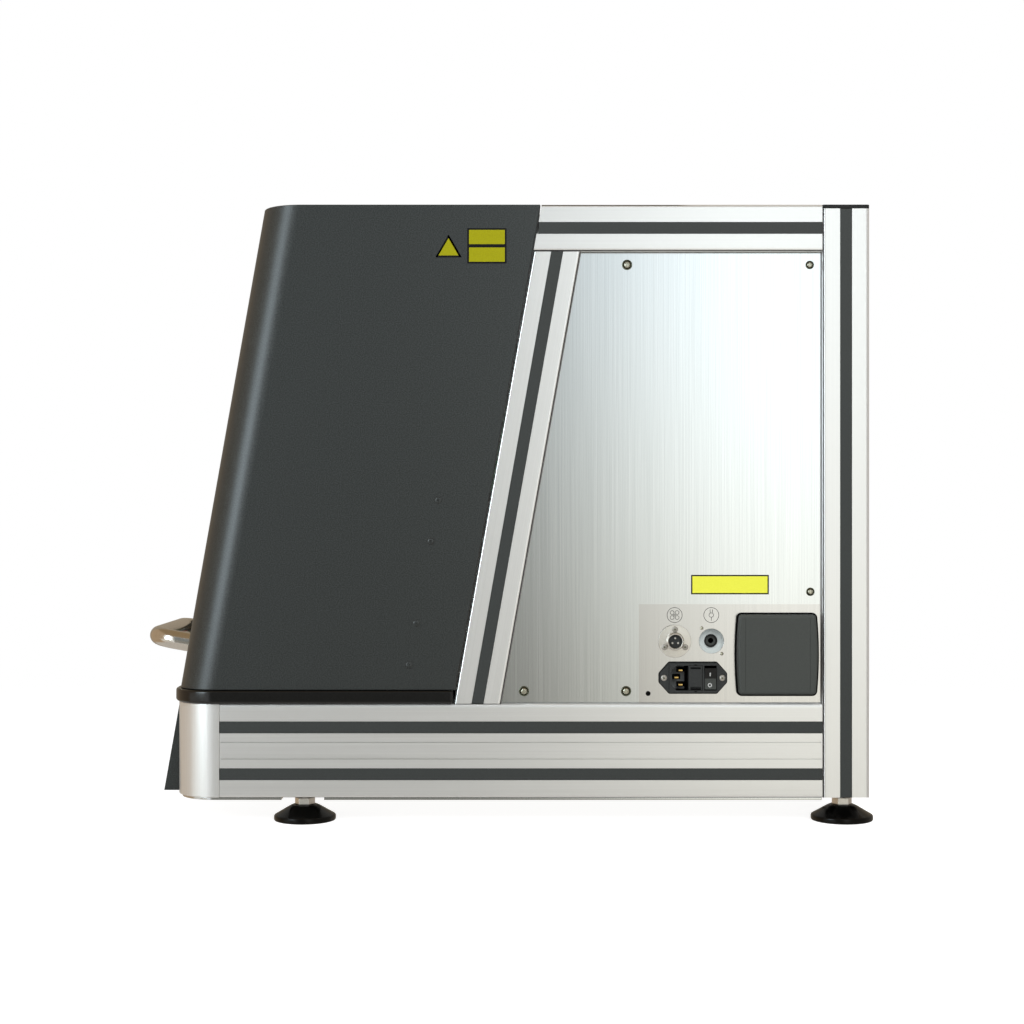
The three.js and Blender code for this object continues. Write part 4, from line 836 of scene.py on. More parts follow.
# %% Strips across the back
beam_low, beam_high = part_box("rear_top_beam")
beam_run = (beam_high.x - beam_low.x, 0, 0)
beam_middle = (beam_low.z + beam_high.z) / 2
strip("strip_top_beam_back", (beam_low.x, beam_high.y, beam_middle), beam_run, across_z, BACKWARD)
strip("strip_top_beam_upper", (beam_low.x, post_middle, beam_high.z), beam_run, across_y, UP)
for label, level in BASE_SLOTS:
    strip(f"strip_base_beam_{label}", (beam_low.x, beam_high.y, level), beam_run, across_z, BACKWARD)

# %% [markdown]
# The side, rear and top panels are folded sheet. They keep their CAD forms, because a laser-cut sheet
# is just that: a flat face with clean holes and a small fold.

# %% Sheet panels
SHEETS = (
    ("side_panel_right", filmed_sheet, "brushed_sheet"),
    ("side_panel_left", brushed_sheet, "brushed_sheet"),
    ("rear_panel", brushed_sheet, "brushed_sheet"),
    ("top_cover", brushed_sheet, "brushed_sheet"),
    ("floor_plate", brushed_sheet, "inner_sheet"),
    ("chamber_wall", inner_sheet, "inner_sheet"),
)
for node, made, slot in SHEETS:
    softened(node, made)
softened("front_panel", hood_paint, BAR_EDGE)
SEAT_GAP = 0.0003
panel_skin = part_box("side_panel_right")[1].x
panel_face = panel_skin + SEAT_GAP
print("Panel face at", round(panel_skin, 4), "m")

# %% [markdown]
# The hood is one sheet bent round two tall front corners and closed with a top. On a level cut its
# outline is always the same U, pushed back as it rises. The U is laid out from one vertex: a straight
# run is an extrusion of the last point, and a corner is swept by a quarter spin.

# %% A U-shaped path
ROUND_STEPS = 16


def u_path(bm, half, front, rear, radius, level):
    last = bm.verts.new((half, rear, level))
    edges = []

    def straight(step):
        nonlocal last
        made = bmesh.ops.extrude_vert_indiv(bm, verts=[last])
        edges.extend(made["edges"])
        last = made["verts"][0]
        last.co += Vector(step)

    def corner(centre):
        nonlocal last
        known = set(bm.edges)
        made = bmesh.ops.spin(bm, geom=[last], cent=centre, axis=UP, angle=-math.pi / 2, steps=ROUND_STEPS)
        edges.extend(edge for edge in bm.edges if edge not in known)
        last = [item for item in made["geom_last"] if isinstance(item, bmesh.types.BMVert)][0]

    straight((0, front + radius - rear, 0))
    corner((half - radius, front + radius, level))
    straight((2 * (radius - half), 0, 0))
    corner((radius - half, front + radius, level))
    straight((0, rear - front - radius, 0))
    return edges


def pull_wall(bm, edges, run):
    made = bmesh.ops.extrude_edge_only(bm, edges=edges)
    bmesh.ops.translate(bm, vec=run, verts=verts_of(made))


print("A corner of the U has", ROUND_STEPS, "steps")

# %% [markdown]
# The U is pulled up along the lean to give the hood's walls, and its upper edge is closed with one
# face, which is the top.

# %% Hood walls and top
HOOD_ROUND = 0.040
hood_low, hood_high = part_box("hood_shell")
rise = hood_high.z - hood_low.z
hood_rear = hood_high.y - SLOPE * rise
hood = bmesh.new()
low_edges = u_path(hood, hood_high.x, hood_low.y, hood_rear, HOOD_ROUND, hood_low.z)
pull_wall(hood, low_edges, (0, SLOPE * rise, rise))
top_edges = [edge for edge in hood.edges if all(abs(v.co.z - hood_high.z) < MERGE for v in edge.verts)]
ends = [v for edge in top_edges for v in edge.verts if sum(v in e.verts for e in top_edges) == 1]
closing = hood.edges.new(ends)
bmesh.ops.contextual_create(hood, geom=top_edges + [closing])
print("Hood low and high in mm:", [round(1000 * v) for v in hood_low], [round(1000 * v) for v in hood_high])

# %% [markdown]
# The window is an opening with rounded corners in the sloping front face. Its outline is drawn flat,
# turned to the lean and stamped into the hood's mesh. The front face is then taken away, and the ring
# between its own edges and the outline is filled anew. A boolean cut would do it too, but it leaves
# long thin faces that are hard to round.

# %% Window opening
WINDOW_WIDTH = 0.300
WINDOW_HEIGHT = 0.170
WINDOW_ROUND = 0.012
PANE_OFFSET = 0.0038
QUARTER = math.pi / 2
lean_turn = Matrix.Rotation(-LEAN, 4, "X")
inward = lean_turn @ Vector((0, 1, 0))
window_middle = middle_of("window_pane") - PANE_OFFSET * inward
front_face = max(hood.faces, key=lambda face: -face.calc_center_median().y * face.calc_area())
outer_edges = list(front_face.edges)
bmesh.ops.delete(hood, geom=[front_face], context="FACES_ONLY")
window = bmesh.new()
round_corners(window, rectangle(window, WINDOW_WIDTH, WINDOW_HEIGHT), WINDOW_ROUND)
upright = Matrix.Translation(window_middle) @ lean_turn @ Matrix.Rotation(QUARTER, 4, "X")
bmesh.ops.transform(window, matrix=upright, verts=window.verts)
known = set(hood.verts)
stamp = bpy.data.meshes.new("window outline")
window.to_mesh(stamp)
window.free()
hood.from_mesh(stamp)
bpy.data.meshes.remove(stamp)
new_verts = [v for v in hood.verts if v not in known]
stamped = list({face for v in new_verts for face in v.link_faces})
bmesh.ops.delete(hood, geom=stamped, context="FACES_ONLY")
inner_edges = list({edge for v in new_verts for edge in v.link_edges})
bmesh.ops.triangle_fill(hood, edges=outer_edges + inner_edges, use_beauty=True)
print("Window outline has", len(new_verts), "points")

# %% [markdown]
# So far the hood is a skin. Its normals are set outward first, and then the skin gets the sheet's
# thickness toward the inside. The fill's triangles are joined to flat faces again before the sharp
# edges are rounded.

# %% Sheet thickness and window pane
HOOD_SHEET = 0.002
TOP_ROUND = 0.0008
TOP_STEPS = 3
bmesh.ops.recalc_face_normals(hood, faces=hood.faces)
bmesh.ops.solidify(hood, geom=list(hood.faces), thickness=HOOD_SHEET)
bmesh.ops.recalc_face_normals(hood, faces=hood.faces)
bmesh.ops.dissolve_limit(hood, angle_limit=FLAT, verts=hood.verts, edges=hood.edges)
soften(hood, TOP_ROUND, TOP_STEPS)
print("Hood faces:", len(hood.faces))
finish_piece(hood, "hood_shell_dressed", "hood", [hood_paint], ["hood_shell"])
softened("window_pane", safety_glass)

# %% [markdown]
# A soft black seal runs round the base under the hood's edge. Its section is a plain bar with well
# rounded edges, so the same U is drawn a little wider, pulled up straight and thickened inward.

# %% Sill seal
SEAL_ROUND = 0.043
SEAL_WIDTH = 0.012
SEAL_EDGE = 0.0025
SEAL_STEPS = 4
seal_low, seal_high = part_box("sill_seal")
seal = bmesh.new()
seal_edges = u_path(seal, seal_high.x, seal_low.y, seal_high.y, SEAL_ROUND, seal_low.z)
pull_wall(seal, seal_edges, (0, 0, seal_high.z - seal_low.z))
bmesh.ops.recalc_face_normals(seal, faces=seal.faces)
bmesh.ops.solidify(seal, geom=list(seal.faces), thickness=SEAL_WIDTH)
bmesh.ops.recalc_face_normals(seal, faces=seal.faces)
soften(seal, SEAL_EDGE, SEAL_STEPS)
finish_piece(seal, "sill_seal_dressed", "machine", [seal_rubber], ["sill_seal"])
print("Seal in mm:", [round(1000 * side) for side in seal_high - seal_low])

# %% [markdown]
# The lift handle is a round bar bent twice. One circle is pulled out of the hood, spun round the first
# bend, pulled across, spun again and pulled back, which is just how a bar is bent over a roller. A low
# turned collar closes each end against the sheet.

# %% Lift handle
HANDLE_RADIUS = 0.010
HANDLE_SPAN = 0.180
HANDLE_REACH = 0.062
HANDLE_BEND = 0.024
HANDLE_STEPS = 32
BEND_STEPS = 14
COLLAR = (
    (0.0, 0.0),
    (0.0142, 0.0),
    (0.0142, 0.0016),
    (0.0134, 0.0024),
    (0.0101, 0.0024),
)


def bent(bm, faces, centre):
    made = bmesh.ops.spin(bm, geom=faces, cent=centre, axis=UP, angle=QUARTER, steps=BEND_STEPS)
    bmesh.ops.delete(bm, geom=[face for face in faces if face.is_valid], context="FACES_ONLY")
    return [item for item in made["geom_last"] if isinstance(item, bmesh.types.BMFace)]


handle_low, handle_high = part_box("lift_handle")
bar_back = handle_low.y + HANDLE_RADIUS
bar_up = handle_high.z - HANDLE_RADIUS
root = Vector((0, bar_back, bar_up)) + lean_turn @ Vector((0, HANDLE_REACH, 0))
half_span = HANDLE_SPAN / 2
leg = HANDLE_REACH - HANDLE_BEND
handle = bmesh.new()
circle = bmesh.ops.create_circle(handle, cap_ends=True, radius=HANDLE_RADIUS, segments=HANDLE_STEPS)
stand = Matrix.Translation((-half_span, 0, 0)) @ Matrix.Rotation(QUARTER, 4, "X")
bmesh.ops.transform(handle, matrix=stand, verts=circle["verts"])
end = pulled(handle, list(handle.faces), (0, -leg, 0))
end = bent(handle, end, (HANDLE_BEND - half_span, -leg, 0))
end = pulled(handle, end, (HANDLE_SPAN - 2 * HANDLE_BEND, 0, 0))
end = bent(handle, end, (half_span - HANDLE_BEND, -leg, 0))
pulled(handle, end, (0, leg, 0))
bmesh.ops.transform(handle, matrix=Matrix.Translation(root) @ lean_turn, verts=handle.verts)
finish_piece(handle, "lift_handle_dressed", "hood", [polished_steel], ["lift_handle"])
forward = lean_turn @ Vector((0, -1, 0))
for side, sign in sides:
    collar_place = root + Vector((sign * half_span, 0, 0))
    turned(f"handle_collar_{side}", COLLAR, forward, collar_place, "hood", [polished_steel])
print("Handle stands out", round(1000 * (handle_high.y - handle_low.y)), "mm")

# %% [markdown]
# Four levelling feet carry the machine. The pad is a black moulded cone with a rounded rim, and the
# stud is a nickel-plated screw with a hexagon that a spanner turns. Pad and stud are separate pieces,
# because the pad only slides with its foot while the stud turns in it.

# %% Foot sections
PAD = (
    (0.0, 0.0),
    (0.0282, 0.0),
    (0.0294, 0.0004),
    (0.0300, 0.0014),
    (0.0300, 0.0044),
    (0.0296, 0.0053),
    (0.0286, 0.0060),
    (0.0240, 0.0086),
    (0.0190, 0.0116),
    (0.0150, 0.0139),
    (0.0132, 0.0148),
    (0.0114, 0.0155),
    (0.0063, 0.0156),
    (0.0063, 0.0060),
    (0.0, 0.0060),
)
STUD = (
    (0.0, 0.0),
    (0.0058, 0.0),
    (0.0058, 0.0155),
    (0.0050, 0.0160),
    (0.0050, 0.0530),
    (0.0044, 0.0537),
    (0.0, 0.0537),
)
STUD_STEPS = 24
HEX_FLATS = 0.017
HEX_RISE = 0.0096
HEX_HEIGHT = 0.0063
HEX_EDGE = 0.00035
print("Pad and stud sections have", len(PAD), "and", len(STUD), "corners")

# %% Feet
for end_name in ("front", "rear"):
    for side, sign in sides:
        pad = f"foot_pad_{end_name}_{side}"
        stud = f"foot_stud_{end_name}_{side}"
        middle = middle_of(pad)
        pad_place = (middle.x, middle.y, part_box(pad)[0].z)
        stud_place = (middle.x, middle.y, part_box(stud)[0].z)
        turned(pad + "_dressed", PAD, UP, pad_place, body_of(pad), [foot_rubber], [pad])
        screw = spun(STUD, STUD_STEPS)
        nut = bmesh.ops.create_circle(screw, cap_ends=True, radius=HEX_FLATS / math.sqrt(3), segments=6)
        bmesh.ops.translate(screw, vec=(0, 0, HEX_RISE), verts=nut["verts"])
        base = [face for face in screw.faces if all(v in nut["verts"] for v in face.verts)]
        extruded(screw, base, (0, 0, HEX_HEIGHT))
        aim(screw, UP, stud_place)
        bmesh.ops.recalc_face_normals(screw, faces=screw.faces)
        soften(screw, HEX_EDGE)
        finish_piece(screw, stud + "_dressed", body_of(stud), [nickel], [stud])

# %% [markdown]
# The fan cover is a thick moulded cap whose two upright sides bulge a little. It floats on a gap over
# a thin frame. Its outline starts as a rectangle whose upright edges are divided, bent outward and
# rounded at the corners. The same outline serves frame, gap and cap with a growing inset. A near-black
# core fills the gap as painted shade, and the black frame also stands in for the cap's shadow round it.

# %% Outline of the fan cover
COVER_WIDTH = 0.077
COVER_HEIGHT = 0.0803
COVER_BULGE = 0.0020
COVER_ROUND = 0.0045
COVER_STEPS = 5
COVER_CUTS = 9


def cover_outline(bm, inset, level):
    half = COVER_WIDTH / 2 - inset
    half_high = COVER_HEIGHT / 2 - inset
    face = rectangle(bm, 2 * half, 2 * half_high, (0, 0), level)
    face = round_corners(bm, face, COVER_ROUND - inset, COVER_STEPS)
    upright = [e for e in face.edges if abs(e.verts[0].co.x - e.verts[1].co.x) < MERGE]
    long_edges = [e for e in upright if e.calc_length() > half_high]
    bmesh.ops.subdivide_edges(bm, edges=long_edges, cuts=COVER_CUTS)
    joined = bmesh.ops.dissolve_faces(bm, faces=bm.faces[:])["region"]
    for v in bm.verts:
        if abs(v.co.x) > half / 2:
            share = 1 - (v.co.y / half_high) ** 2
            v.co.x += math.copysign(COVER_BULGE * max(share, 0), v.co.x)
    return joined[0]


print("Fan cover in mm:", 1000 * COVER_WIDTH, 1000 * COVER_HEIGHT)

# %% Frame and cap of the fan cover
COVER_BASE = 0.0025
COVER_GAP = 0.0030
COVER_CAP = 0.0087
COVER_INSET = 0.0020
COVER_SHOULDER = 0.0024
COVER_FLAT = 0.0004
COVER_SHIFT = 0.0009
COVER_LIFT = 0.0005
SEAM_OFFSET = 0.031
SEAM_WIDTH = 0.0005
SEAM_DEPTH = 0.0003
CORE_INSET = 0.004
cover_middle = middle_of("fan_cover")
cover_y = cover_middle.y
cover_z = cover_middle.z

# The frame is black, and its rim round the cap also stands in for the cap's shadow.
base = bmesh.new()
raised(base, cover_outline(base, 0.0, 0.0), COVER_BASE)
bmesh.ops.recalc_face_normals(base, faces=base.faces)
soften(base, SMALL_EDGE)
put_right(base, panel_face, cover_y, cover_z)
finish_piece(base, "fan_cover_frame", "machine", [near_black_and_shade], ["fan_cover"])

cap = bmesh.new()
raised(cap, cover_outline(cap, COVER_INSET, COVER_BASE + COVER_GAP), COVER_CAP)
bmesh.ops.recalc_face_normals(cap, faces=cap.faces)
cap_top = max(cap.faces, key=lambda f: f.calc_center_median().z)
bevelled(cap, list(cap_top.edges), COVER_SHOULDER, COVER_STEPS)
cap_level = COVER_BASE + COVER_GAP + COVER_CAP
cap_top = max(cap.faces, key=lambda f: (round(f.calc_center_median().z, 6), f.calc_area()))
bmesh.ops.inset_individual(cap, faces=[cap_top], thickness=COVER_FLAT, use_even_offset=True)
for place in (-SEAM_OFFSET, SEAM_OFFSET):
    near, far = place - SEAM_WIDTH / 2, place + SEAM_WIDTH / 2
    slice_at(cap, 0, (near, far))
    pulled(cap, faces_within(cap, near, far, COVER_HEIGHT / 2, cap_level), (0, 0, -SEAM_DEPTH))
bmesh.ops.recalc_face_normals(cap, faces=cap.faces)
put_right(cap, panel_face, cover_y - COVER_SHIFT, cover_z + COVER_LIFT)
finish_piece(cap, "fan_cover_cap", "machine", [cover_plastic_and_painted_light])

# The core is near black: painted shade in the gap under the cap.
core = bmesh.new()
raised(core, cover_outline(core, CORE_INSET, COVER_BASE - SEAT_GAP), COVER_GAP + 2 * SEAT_GAP)
put_right(core, panel_face, cover_y, cover_z)
finish_piece(core, "fan_cover_core", "machine", [near_black_and_shade])
print("Fan cover centre at", round(cover_y, 4), round(cover_z, 4))

# %% [markdown]
# The three-pin socket is a turned nickel flange with a threaded-looking ring and a dark insert. Three
# bright pins stand in the insert, and three small screws hold the flange.

# %% Three-pin socket
SOCKET_FLANGE = (
    (0.0, -0.0220),
    (0.0083, -0.0220),
    (0.0083, 0.0),
    (0.0158, 0.0),
    (0.0158, 0.0017),
    (0.0155, 0.0020),
    (0.0090, 0.0020),
    (0.0083, 0.0026),
    (0.0083, 0.0074),
    (0.0077, 0.0080),
    (0.0071, 0.0080),
    (0.0065, 0.0074),
    (0.0065, -0.0028),
    (0.0, -0.0028),
)
SOCKET_INSERT = ((0.0, -0.0026), (0.0064, -0.0026), (0.0064, 0.0034), (0.0058, 0.0040), (0.0, 0.0040))
SOCKET_PIN = ((0.0, 0.0030), (0.0010, 0.0030), (0.0010, 0.0058), (0.0008, 0.0062), (0.0, 0.0063))
SMALL_HEAD = (
    (0.0, 0.0022),
    (0.0008, 0.0022),
    (0.0010, 0.0032),
    (0.0024, 0.0030),
    (0.0029, 0.0026),
    (0.0030, 0.0020),
)
HEAD_RECESS = (0.0009,)
PIN_CIRCLE = 0.0031
PIN_STEPS = 12
SCREW_CIRCLE = 0.0114
SCREW_STEPS = 18
socket_middle = middle_of("three_pin_socket")
socket_place = Vector((panel_face, socket_middle.y, socket_middle.z))
# A small head's recess, the first zone, takes the darker washer steel as painted shade.
head_looks = [washer_steel_and_recess_shade, satin_steel]
socket_node = ["three_pin_socket"]
name = "three_pin_flange"
turned(name, SOCKET_FLANGE, OUT, socket_place, "machine", [nickel], socket_node)
turned("three_pin_insert", SOCKET_INSERT, OUT, socket_place, "machine", [flange_plastic])
for index in range(3):
    angle = QUARTER + index * 2 * math.pi / 3
    spoke = Vector((0, math.cos(angle), math.sin(angle)))
    place = socket_place + PIN_CIRCLE * spoke
    name = f"three_pin_pin_{index + 1}"
    turned(name, SOCKET_PIN, OUT, place, "machine", [nickel], (), PIN_STEPS)
    place = socket_place + SCREW_CIRCLE * spoke
    name = f"three_pin_screw_{index + 1}"
    turned(name, SMALL_HEAD, OUT, place, "machine", head_looks, (), SCREW_STEPS, HEAD_RECESS)
print("Three-pin socket at", [round(value, 4) for value in socket_place])

# %% [markdown]
# The data socket sits behind a round hole: a pale dish with a black barrel in its middle. Two tiny
# screws beside it hold it to the panel.

# %% Data socket
DISH = (
    (0.0, -0.0260),
    (0.0145, -0.0260),
    (0.0145, -0.0003),
    (0.0142, 0.0),
    (0.0121, 0.0),
    (0.0116, -0.0004),
    (0.0106, -0.0020),
    (0.0092, -0.0030),
    (0.0076, -0.0034),
    (0.0064, -0.0035),
    (0.0064, -0.0140),
    (0.0, -0.0140),
)
BARREL = (
    (0.0063, -0.0090),
    (0.0063, -0.0028),
    (0.0060, -0.0022),
    (0.0054, -0.0022),
    (0.0050, -0.0028),
    (0.0049, -0.0046),
    (0.0030, -0.0046),
    (0.0025, -0.0052),
    (0.0025, -0.0130),
    (0.0, -0.0130),
)
BARREL_ZONES = (0.0026, 0.0049)
TINY_HEAD = (
    (0.0, 0.0002),
    (0.0006, 0.0002),
    (0.0007, 0.0009),
    (0.0012, 0.0008),
    (0.0016, 0.0004),
    (0.0017, 0.0),
)
TINY_STEPS = 14
DATA_SCREWS = ((-0.0094, 0.0125), (0.0100, -0.0122))
data_middle = middle_of("data_socket")
data_place = Vector((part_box("data_socket")[1].x, data_middle.y, data_middle.z))
# The barrel's innermost zone, its hole, is near black as painted shade.
barrel_looks = [near_black_and_shade, cover_plastic_and_painted_light, black_plastic]
turned("data_dish", DISH, OUT, data_place, "machine", [pale_plastic], ["data_socket"])
turned("data_barrel", BARREL, OUT, data_place, "machine", barrel_looks, zones=BARREL_ZONES)
for index, (back, up) in enumerate(DATA_SCREWS):
    place = Vector((panel_skin, data_middle.y + back, data_middle.z + up))
    name = f"data_screw_{index + 1}"
    turned(name, TINY_HEAD, OUT, place, "machine", [bright_steel], (), TINY_STEPS)
print("Data socket at", [round(value, 4) for value in data_place])

# %% [markdown]
# The mains inlet is a dark moulding with two pointed ears. Its outline is the one shape that no
# operator starts from, so its eight corners are written down and then rounded. A thin dark gasket of
# the same outline lies behind it.

# %% Inlet outline and gasket
INLET_TIP = 0.0331
INLET_FLAT = 0.02325
INLET_HALF = 0.0155
INLET_EAR = 0.0045
INLET_CORNER = 0.0012
INLET_STEPS = 4
GASKET_THICK = 0.0012
GASKET_WIDTH = 0.0030
inlet_middle = middle_of("inlet_module")
inlet_y = inlet_middle.y
inlet_z = inlet_middle.z


def inlet_outline(bm, level, border):
    tip, flat, half = INLET_TIP - border, INLET_FLAT - border / 2, INLET_HALF - border
    corners = [(flat, half), (tip, INLET_EAR), (tip, -INLET_EAR), (flat, -half)]
    outline = [bm.verts.new((x, y, level)) for x, y in corners]
    outline += [bm.verts.new((-x, y, level)) for x, y in reversed(corners)]
    bm.faces.new(outline)
    bevelled(bm, list(bm.verts), INLET_CORNER, INLET_STEPS, "VERTICES")


gasket = bmesh.new()
inlet_outline(gasket, 0.0, 0.0)
middle_face = gasket.faces[:][0]
bmesh.ops.inset_individual(gasket, faces=[middle_face], thickness=GASKET_WIDTH, use_even_offset=True)
bmesh.ops.delete(gasket, geom=[middle_face], context="FACES_ONLY")
extruded(gasket, list(gasket.faces), (0, 0, GASKET_THICK))
put_right(gasket, panel_face, inlet_y, inlet_z)
finish_piece(gasket, "inlet_gasket", "machine", [near_black_and_shade])
print("Inlet at", round(inlet_y, 4), round(inlet_z, 4))

# %% [markdown]
# The inlet's raised middle holds a deep cavity, the fuse drawer and the rocker switch. The raised face
# is sliced along the edges of the three pockets, and the pocket faces are pushed in. The cavity has
# two cut corners at its front end, so its plug goes in only one way round. Everything below the rim
# is painted near black as the shade inside the pockets.

# %% Inlet housing
INLET_FLANGE = 0.0030
INLET_RIM = 0.0012
INLET_BORDER = 0.0008
RIM_HALF = 0.0140
RIM_FLAT = 0.0230
POCKET_HALF = 0.0120
CAVITY = (-0.0211, -0.0049)
FUSE_POCKET = (-0.00468, 0.00908)
ROCKER_POCKET = (0.0106, 0.0226)
CAVITY_DEPTH = 0.0170
FUSE_DEPTH = 0.0150
ROCKER_DEPTH = 0.0140
CAVITY_CHAMFER = 0.0050
rim_level = INLET_FLANGE + INLET_RIM
pockets = ((CAVITY, CAVITY_DEPTH), (FUSE_POCKET, FUSE_DEPTH), (ROCKER_POCKET, ROCKER_DEPTH))

inlet = bmesh.new()
inlet_outline(inlet, INLET_FLANGE, INLET_BORDER)
pull_wall(inlet, list(inlet.edges), (0, 0, -INLET_FLANGE))
slice_at(inlet, 0, (-RIM_FLAT, RIM_FLAT))
slice_at(inlet, 1, (-RIM_HALF, RIM_HALF))
pulled(inlet, faces_within(inlet, -RIM_FLAT, RIM_FLAT, RIM_HALF, INLET_FLANGE), (0, 0, INLET_RIM))
slice_at(inlet, 0, (*CAVITY, *FUSE_POCKET, *ROCKER_POCKET))
slice_at(inlet, 1, (-POCKET_HALF, POCKET_HALF))
for (near, far), depth in pockets:
    pulled(inlet, faces_within(inlet, near, far, POCKET_HALF, rim_level), (0, 0, -depth))
bmesh.ops.recalc_face_normals(inlet, faces=inlet.faces)
chamfers = []
for edge in inlet.edges:
    first, second = (v.co for v in edge.verts)
    at_wall = abs(first.x - CAVITY[0]) < MERGE and abs(second.x - CAVITY[0]) < MERGE
    if at_wall and abs(first.z - second.z) > CAVITY_DEPTH / 2:
        chamfers.append(edge)
bevelled(inlet, chamfers, CAVITY_CHAMFER, 1)
bmesh.ops.dissolve_limit(inlet, angle_limit=FLAT, verts=inlet.verts, edges=inlet.edges)
# Faces below the rim take the near-black finish: painted shade in the pockets.
for face in inlet.faces:
    middle = face.calc_center_median()
    inside = CAVITY[0] - MERGE < middle.x < ROCKER_POCKET[1] + MERGE and abs(middle.y) < POCKET_HALF + MERGE
    if inside and middle.z < rim_level - MERGE:
        face.material_index = 1
print("Cut corners of the cavity:", len(chamfers))
put_right(inlet, panel_face, inlet_y, inlet_z)
inlet_looks = [flange_plastic, near_black_and_shade]
finish_piece(inlet, "inlet_housing", "machine", inlet_looks, ["inlet_module"])

# %% [markdown]
# The fuse drawer is a softened copy. So is the rocker, whose lower half looks straight out of the side
# and seems lighter than the upper one, which tilts toward the floor. The outward faces of the lower half
# are painted in a lighter grey plastic as painted light.

# %% Fuse drawer and rocker
FACING_SHARE = 0.9
softened("fuse_drawer", flange_plastic)
rocker = merged_copy("rocker_switch")
soften(rocker, SMALL_EDGE)
rocker_fold = middle_of("rocker_switch").z
rocker_body = body_of("rocker_switch")
# Outward faces of the lower half take the lighter plastic: painted light.
for face in rocker.faces:
    if face.calc_center_median().z < rocker_fold and face.normal.x > FACING_SHARE:
        face.material_index = 1
rocker_shaded_and_lit_looks = [black_plastic, cover_plastic_and_painted_light]
finish_piece(rocker, "rocker_switch_dressed", rocker_body, rocker_shaded_and_lit_looks, ["rocker_switch"])
print("Rocker folds at", round(rocker_fold, 4), "m up")

# %% [markdown]
# Inside the cavity a floor shows three near-black wells, and a flat gold blade stands in each. The
# middle one is set off to the left. The floor is painted lighter than the plastic as painted light
# against the deep cavity's shade, and the wells are thin patches painted as the shade of their holes.
# Floor, wells and blades are rectangles pulled out to their height.

# %% Inlet pins
BLADE_WIDTH = 0.0042
BLADE_HEIGHT = 0.0018
BLADE_LENGTH = 0.0120
BLADE_SPREAD = 0.0070
BLADE_SHIFT = 0.0040
CAVITY_MIDDLE = -0.0117
WELL_WIDTH = 0.0078
WELL_HEIGHT = 0.0049
WELL_SHIFT = 0.0007
WELL_THICK = 0.0003
FLOOR_NEAR = -0.0210
FLOOR_FAR = -0.0071
FLOOR_THICK = 0.0005
BLADE_ROWS = ((1, -1, 0.0), (2, 0, -BLADE_SHIFT), (3, 1, 0.0))
cavity_floor = panel_face + rim_level - CAVITY_DEPTH
blade_y = inlet_y + CAVITY_MIDDLE

bottom = bmesh.new()
raised(bottom, rectangle(bottom, FLOOR_FAR - FLOOR_NEAR, 2 * POCKET_HALF - FLOOR_THICK), FLOOR_THICK)
put_right(bottom, cavity_floor, inlet_y + (FLOOR_NEAR + FLOOR_FAR) / 2, inlet_z)
finish_piece(bottom, "inlet_cavity_floor", "machine", [floor_plastic_painted_light])
# Each well is a thin near-black patch: painted shade of its hole.
for number, row, shift in BLADE_ROWS:
    well = bmesh.new()
    raised(well, rectangle(well, WELL_WIDTH, WELL_HEIGHT), WELL_THICK)
    put_right(well, cavity_floor + FLOOR_THICK, blade_y + WELL_SHIFT + shift, inlet_z + row * BLADE_SPREAD)
    finish_piece(well, f"inlet_well_{number}", "machine", [near_black_and_shade])
for number, row, shift in BLADE_ROWS:
    blade = bmesh.new()
    raised(blade, rectangle(blade, BLADE_WIDTH, BLADE_HEIGHT), BLADE_LENGTH)
    bmesh.ops.recalc_face_normals(blade, faces=blade.faces)
    soften(blade, SMALL_EDGE)
    put_right(blade, cavity_floor, blade_y + shift, inlet_z + row * BLADE_SPREAD)
    finish_piece(blade, f"inlet_blade_{number}", "machine", [gold_pins])
print("Blades stand on", round(cavity_floor, 4))

# %% Ear screws
EAR_SCREW = 0.0281
EAR_STEPS = 24
EAR_HEAD = (
    (0.0, 0.0002),
    (0.0007, 0.0002),
    (0.0009, 0.0012),
    (0.0024, 0.0010),
    (0.0029, 0.0005),
    (0.0030, 0.0),
)
for side, sign in sides:
    ear = Vector((panel_face + INLET_FLANGE, inlet_y + sign * EAR_SCREW, inlet_z))
    name = f"inlet_screw_{side}"
    turned(name, EAR_HEAD, OUT, ear, "machine", head_looks, (), EAR_STEPS, HEAD_RECESS)
print("Ear screws stand", round(2000 * EAR_SCREW, 1), "mm apart")

# %% [markdown]
# Each side panel is held by five button-head screws. A head, the groove round it, painted near black
# as its shade, and its dull washer are one section with three zones, and two of the screws are a size
# smaller. The hood's sides carry four smaller screws that were painted over with the sheet.

# %% Panel and hood screws
PANEL_SCREWS = (
    (1.0, 0.1311, 0.5381),
    (0.82, 0.3074, 0.5380),
    (0.82, 0.3080, 0.2225),
    (1.0, 0.1301, 0.1266),
    (1.0, 0.0316, 0.1266),
)
HOOD_SCREWS = ((-0.0507, 0.3107), (-0.0580, 0.2713), (-0.0719, 0.1925), (-0.0788, 0.1526))
BUTTON = (
    (0.0, 0.0010),
    (0.0014, 0.0010),
    (0.0015, 0.0022),
    (0.0021, 0.0022),
    (0.0029, 0.0017),
    (0.0033, 0.0010),
    (0.0034, 0.0002),
    (0.0038, 0.0002),
    (0.0040, 0.0014),
    (0.0043, 0.0015),
    (0.0049, 0.0009),
    (0.0050, 0.0),
)
BUTTON_ZONES = (0.0034, 0.00385)
BUTTON_STEPS = 28
PAINTED = (
    (0.0, 0.0003),
    (0.0011, 0.0003),
    (0.0013, 0.0010),
    (0.0024, 0.0009),
    (0.0032, 0.0005),
    (0.0034, 0.0),
)
PAINTED_STEPS = 24
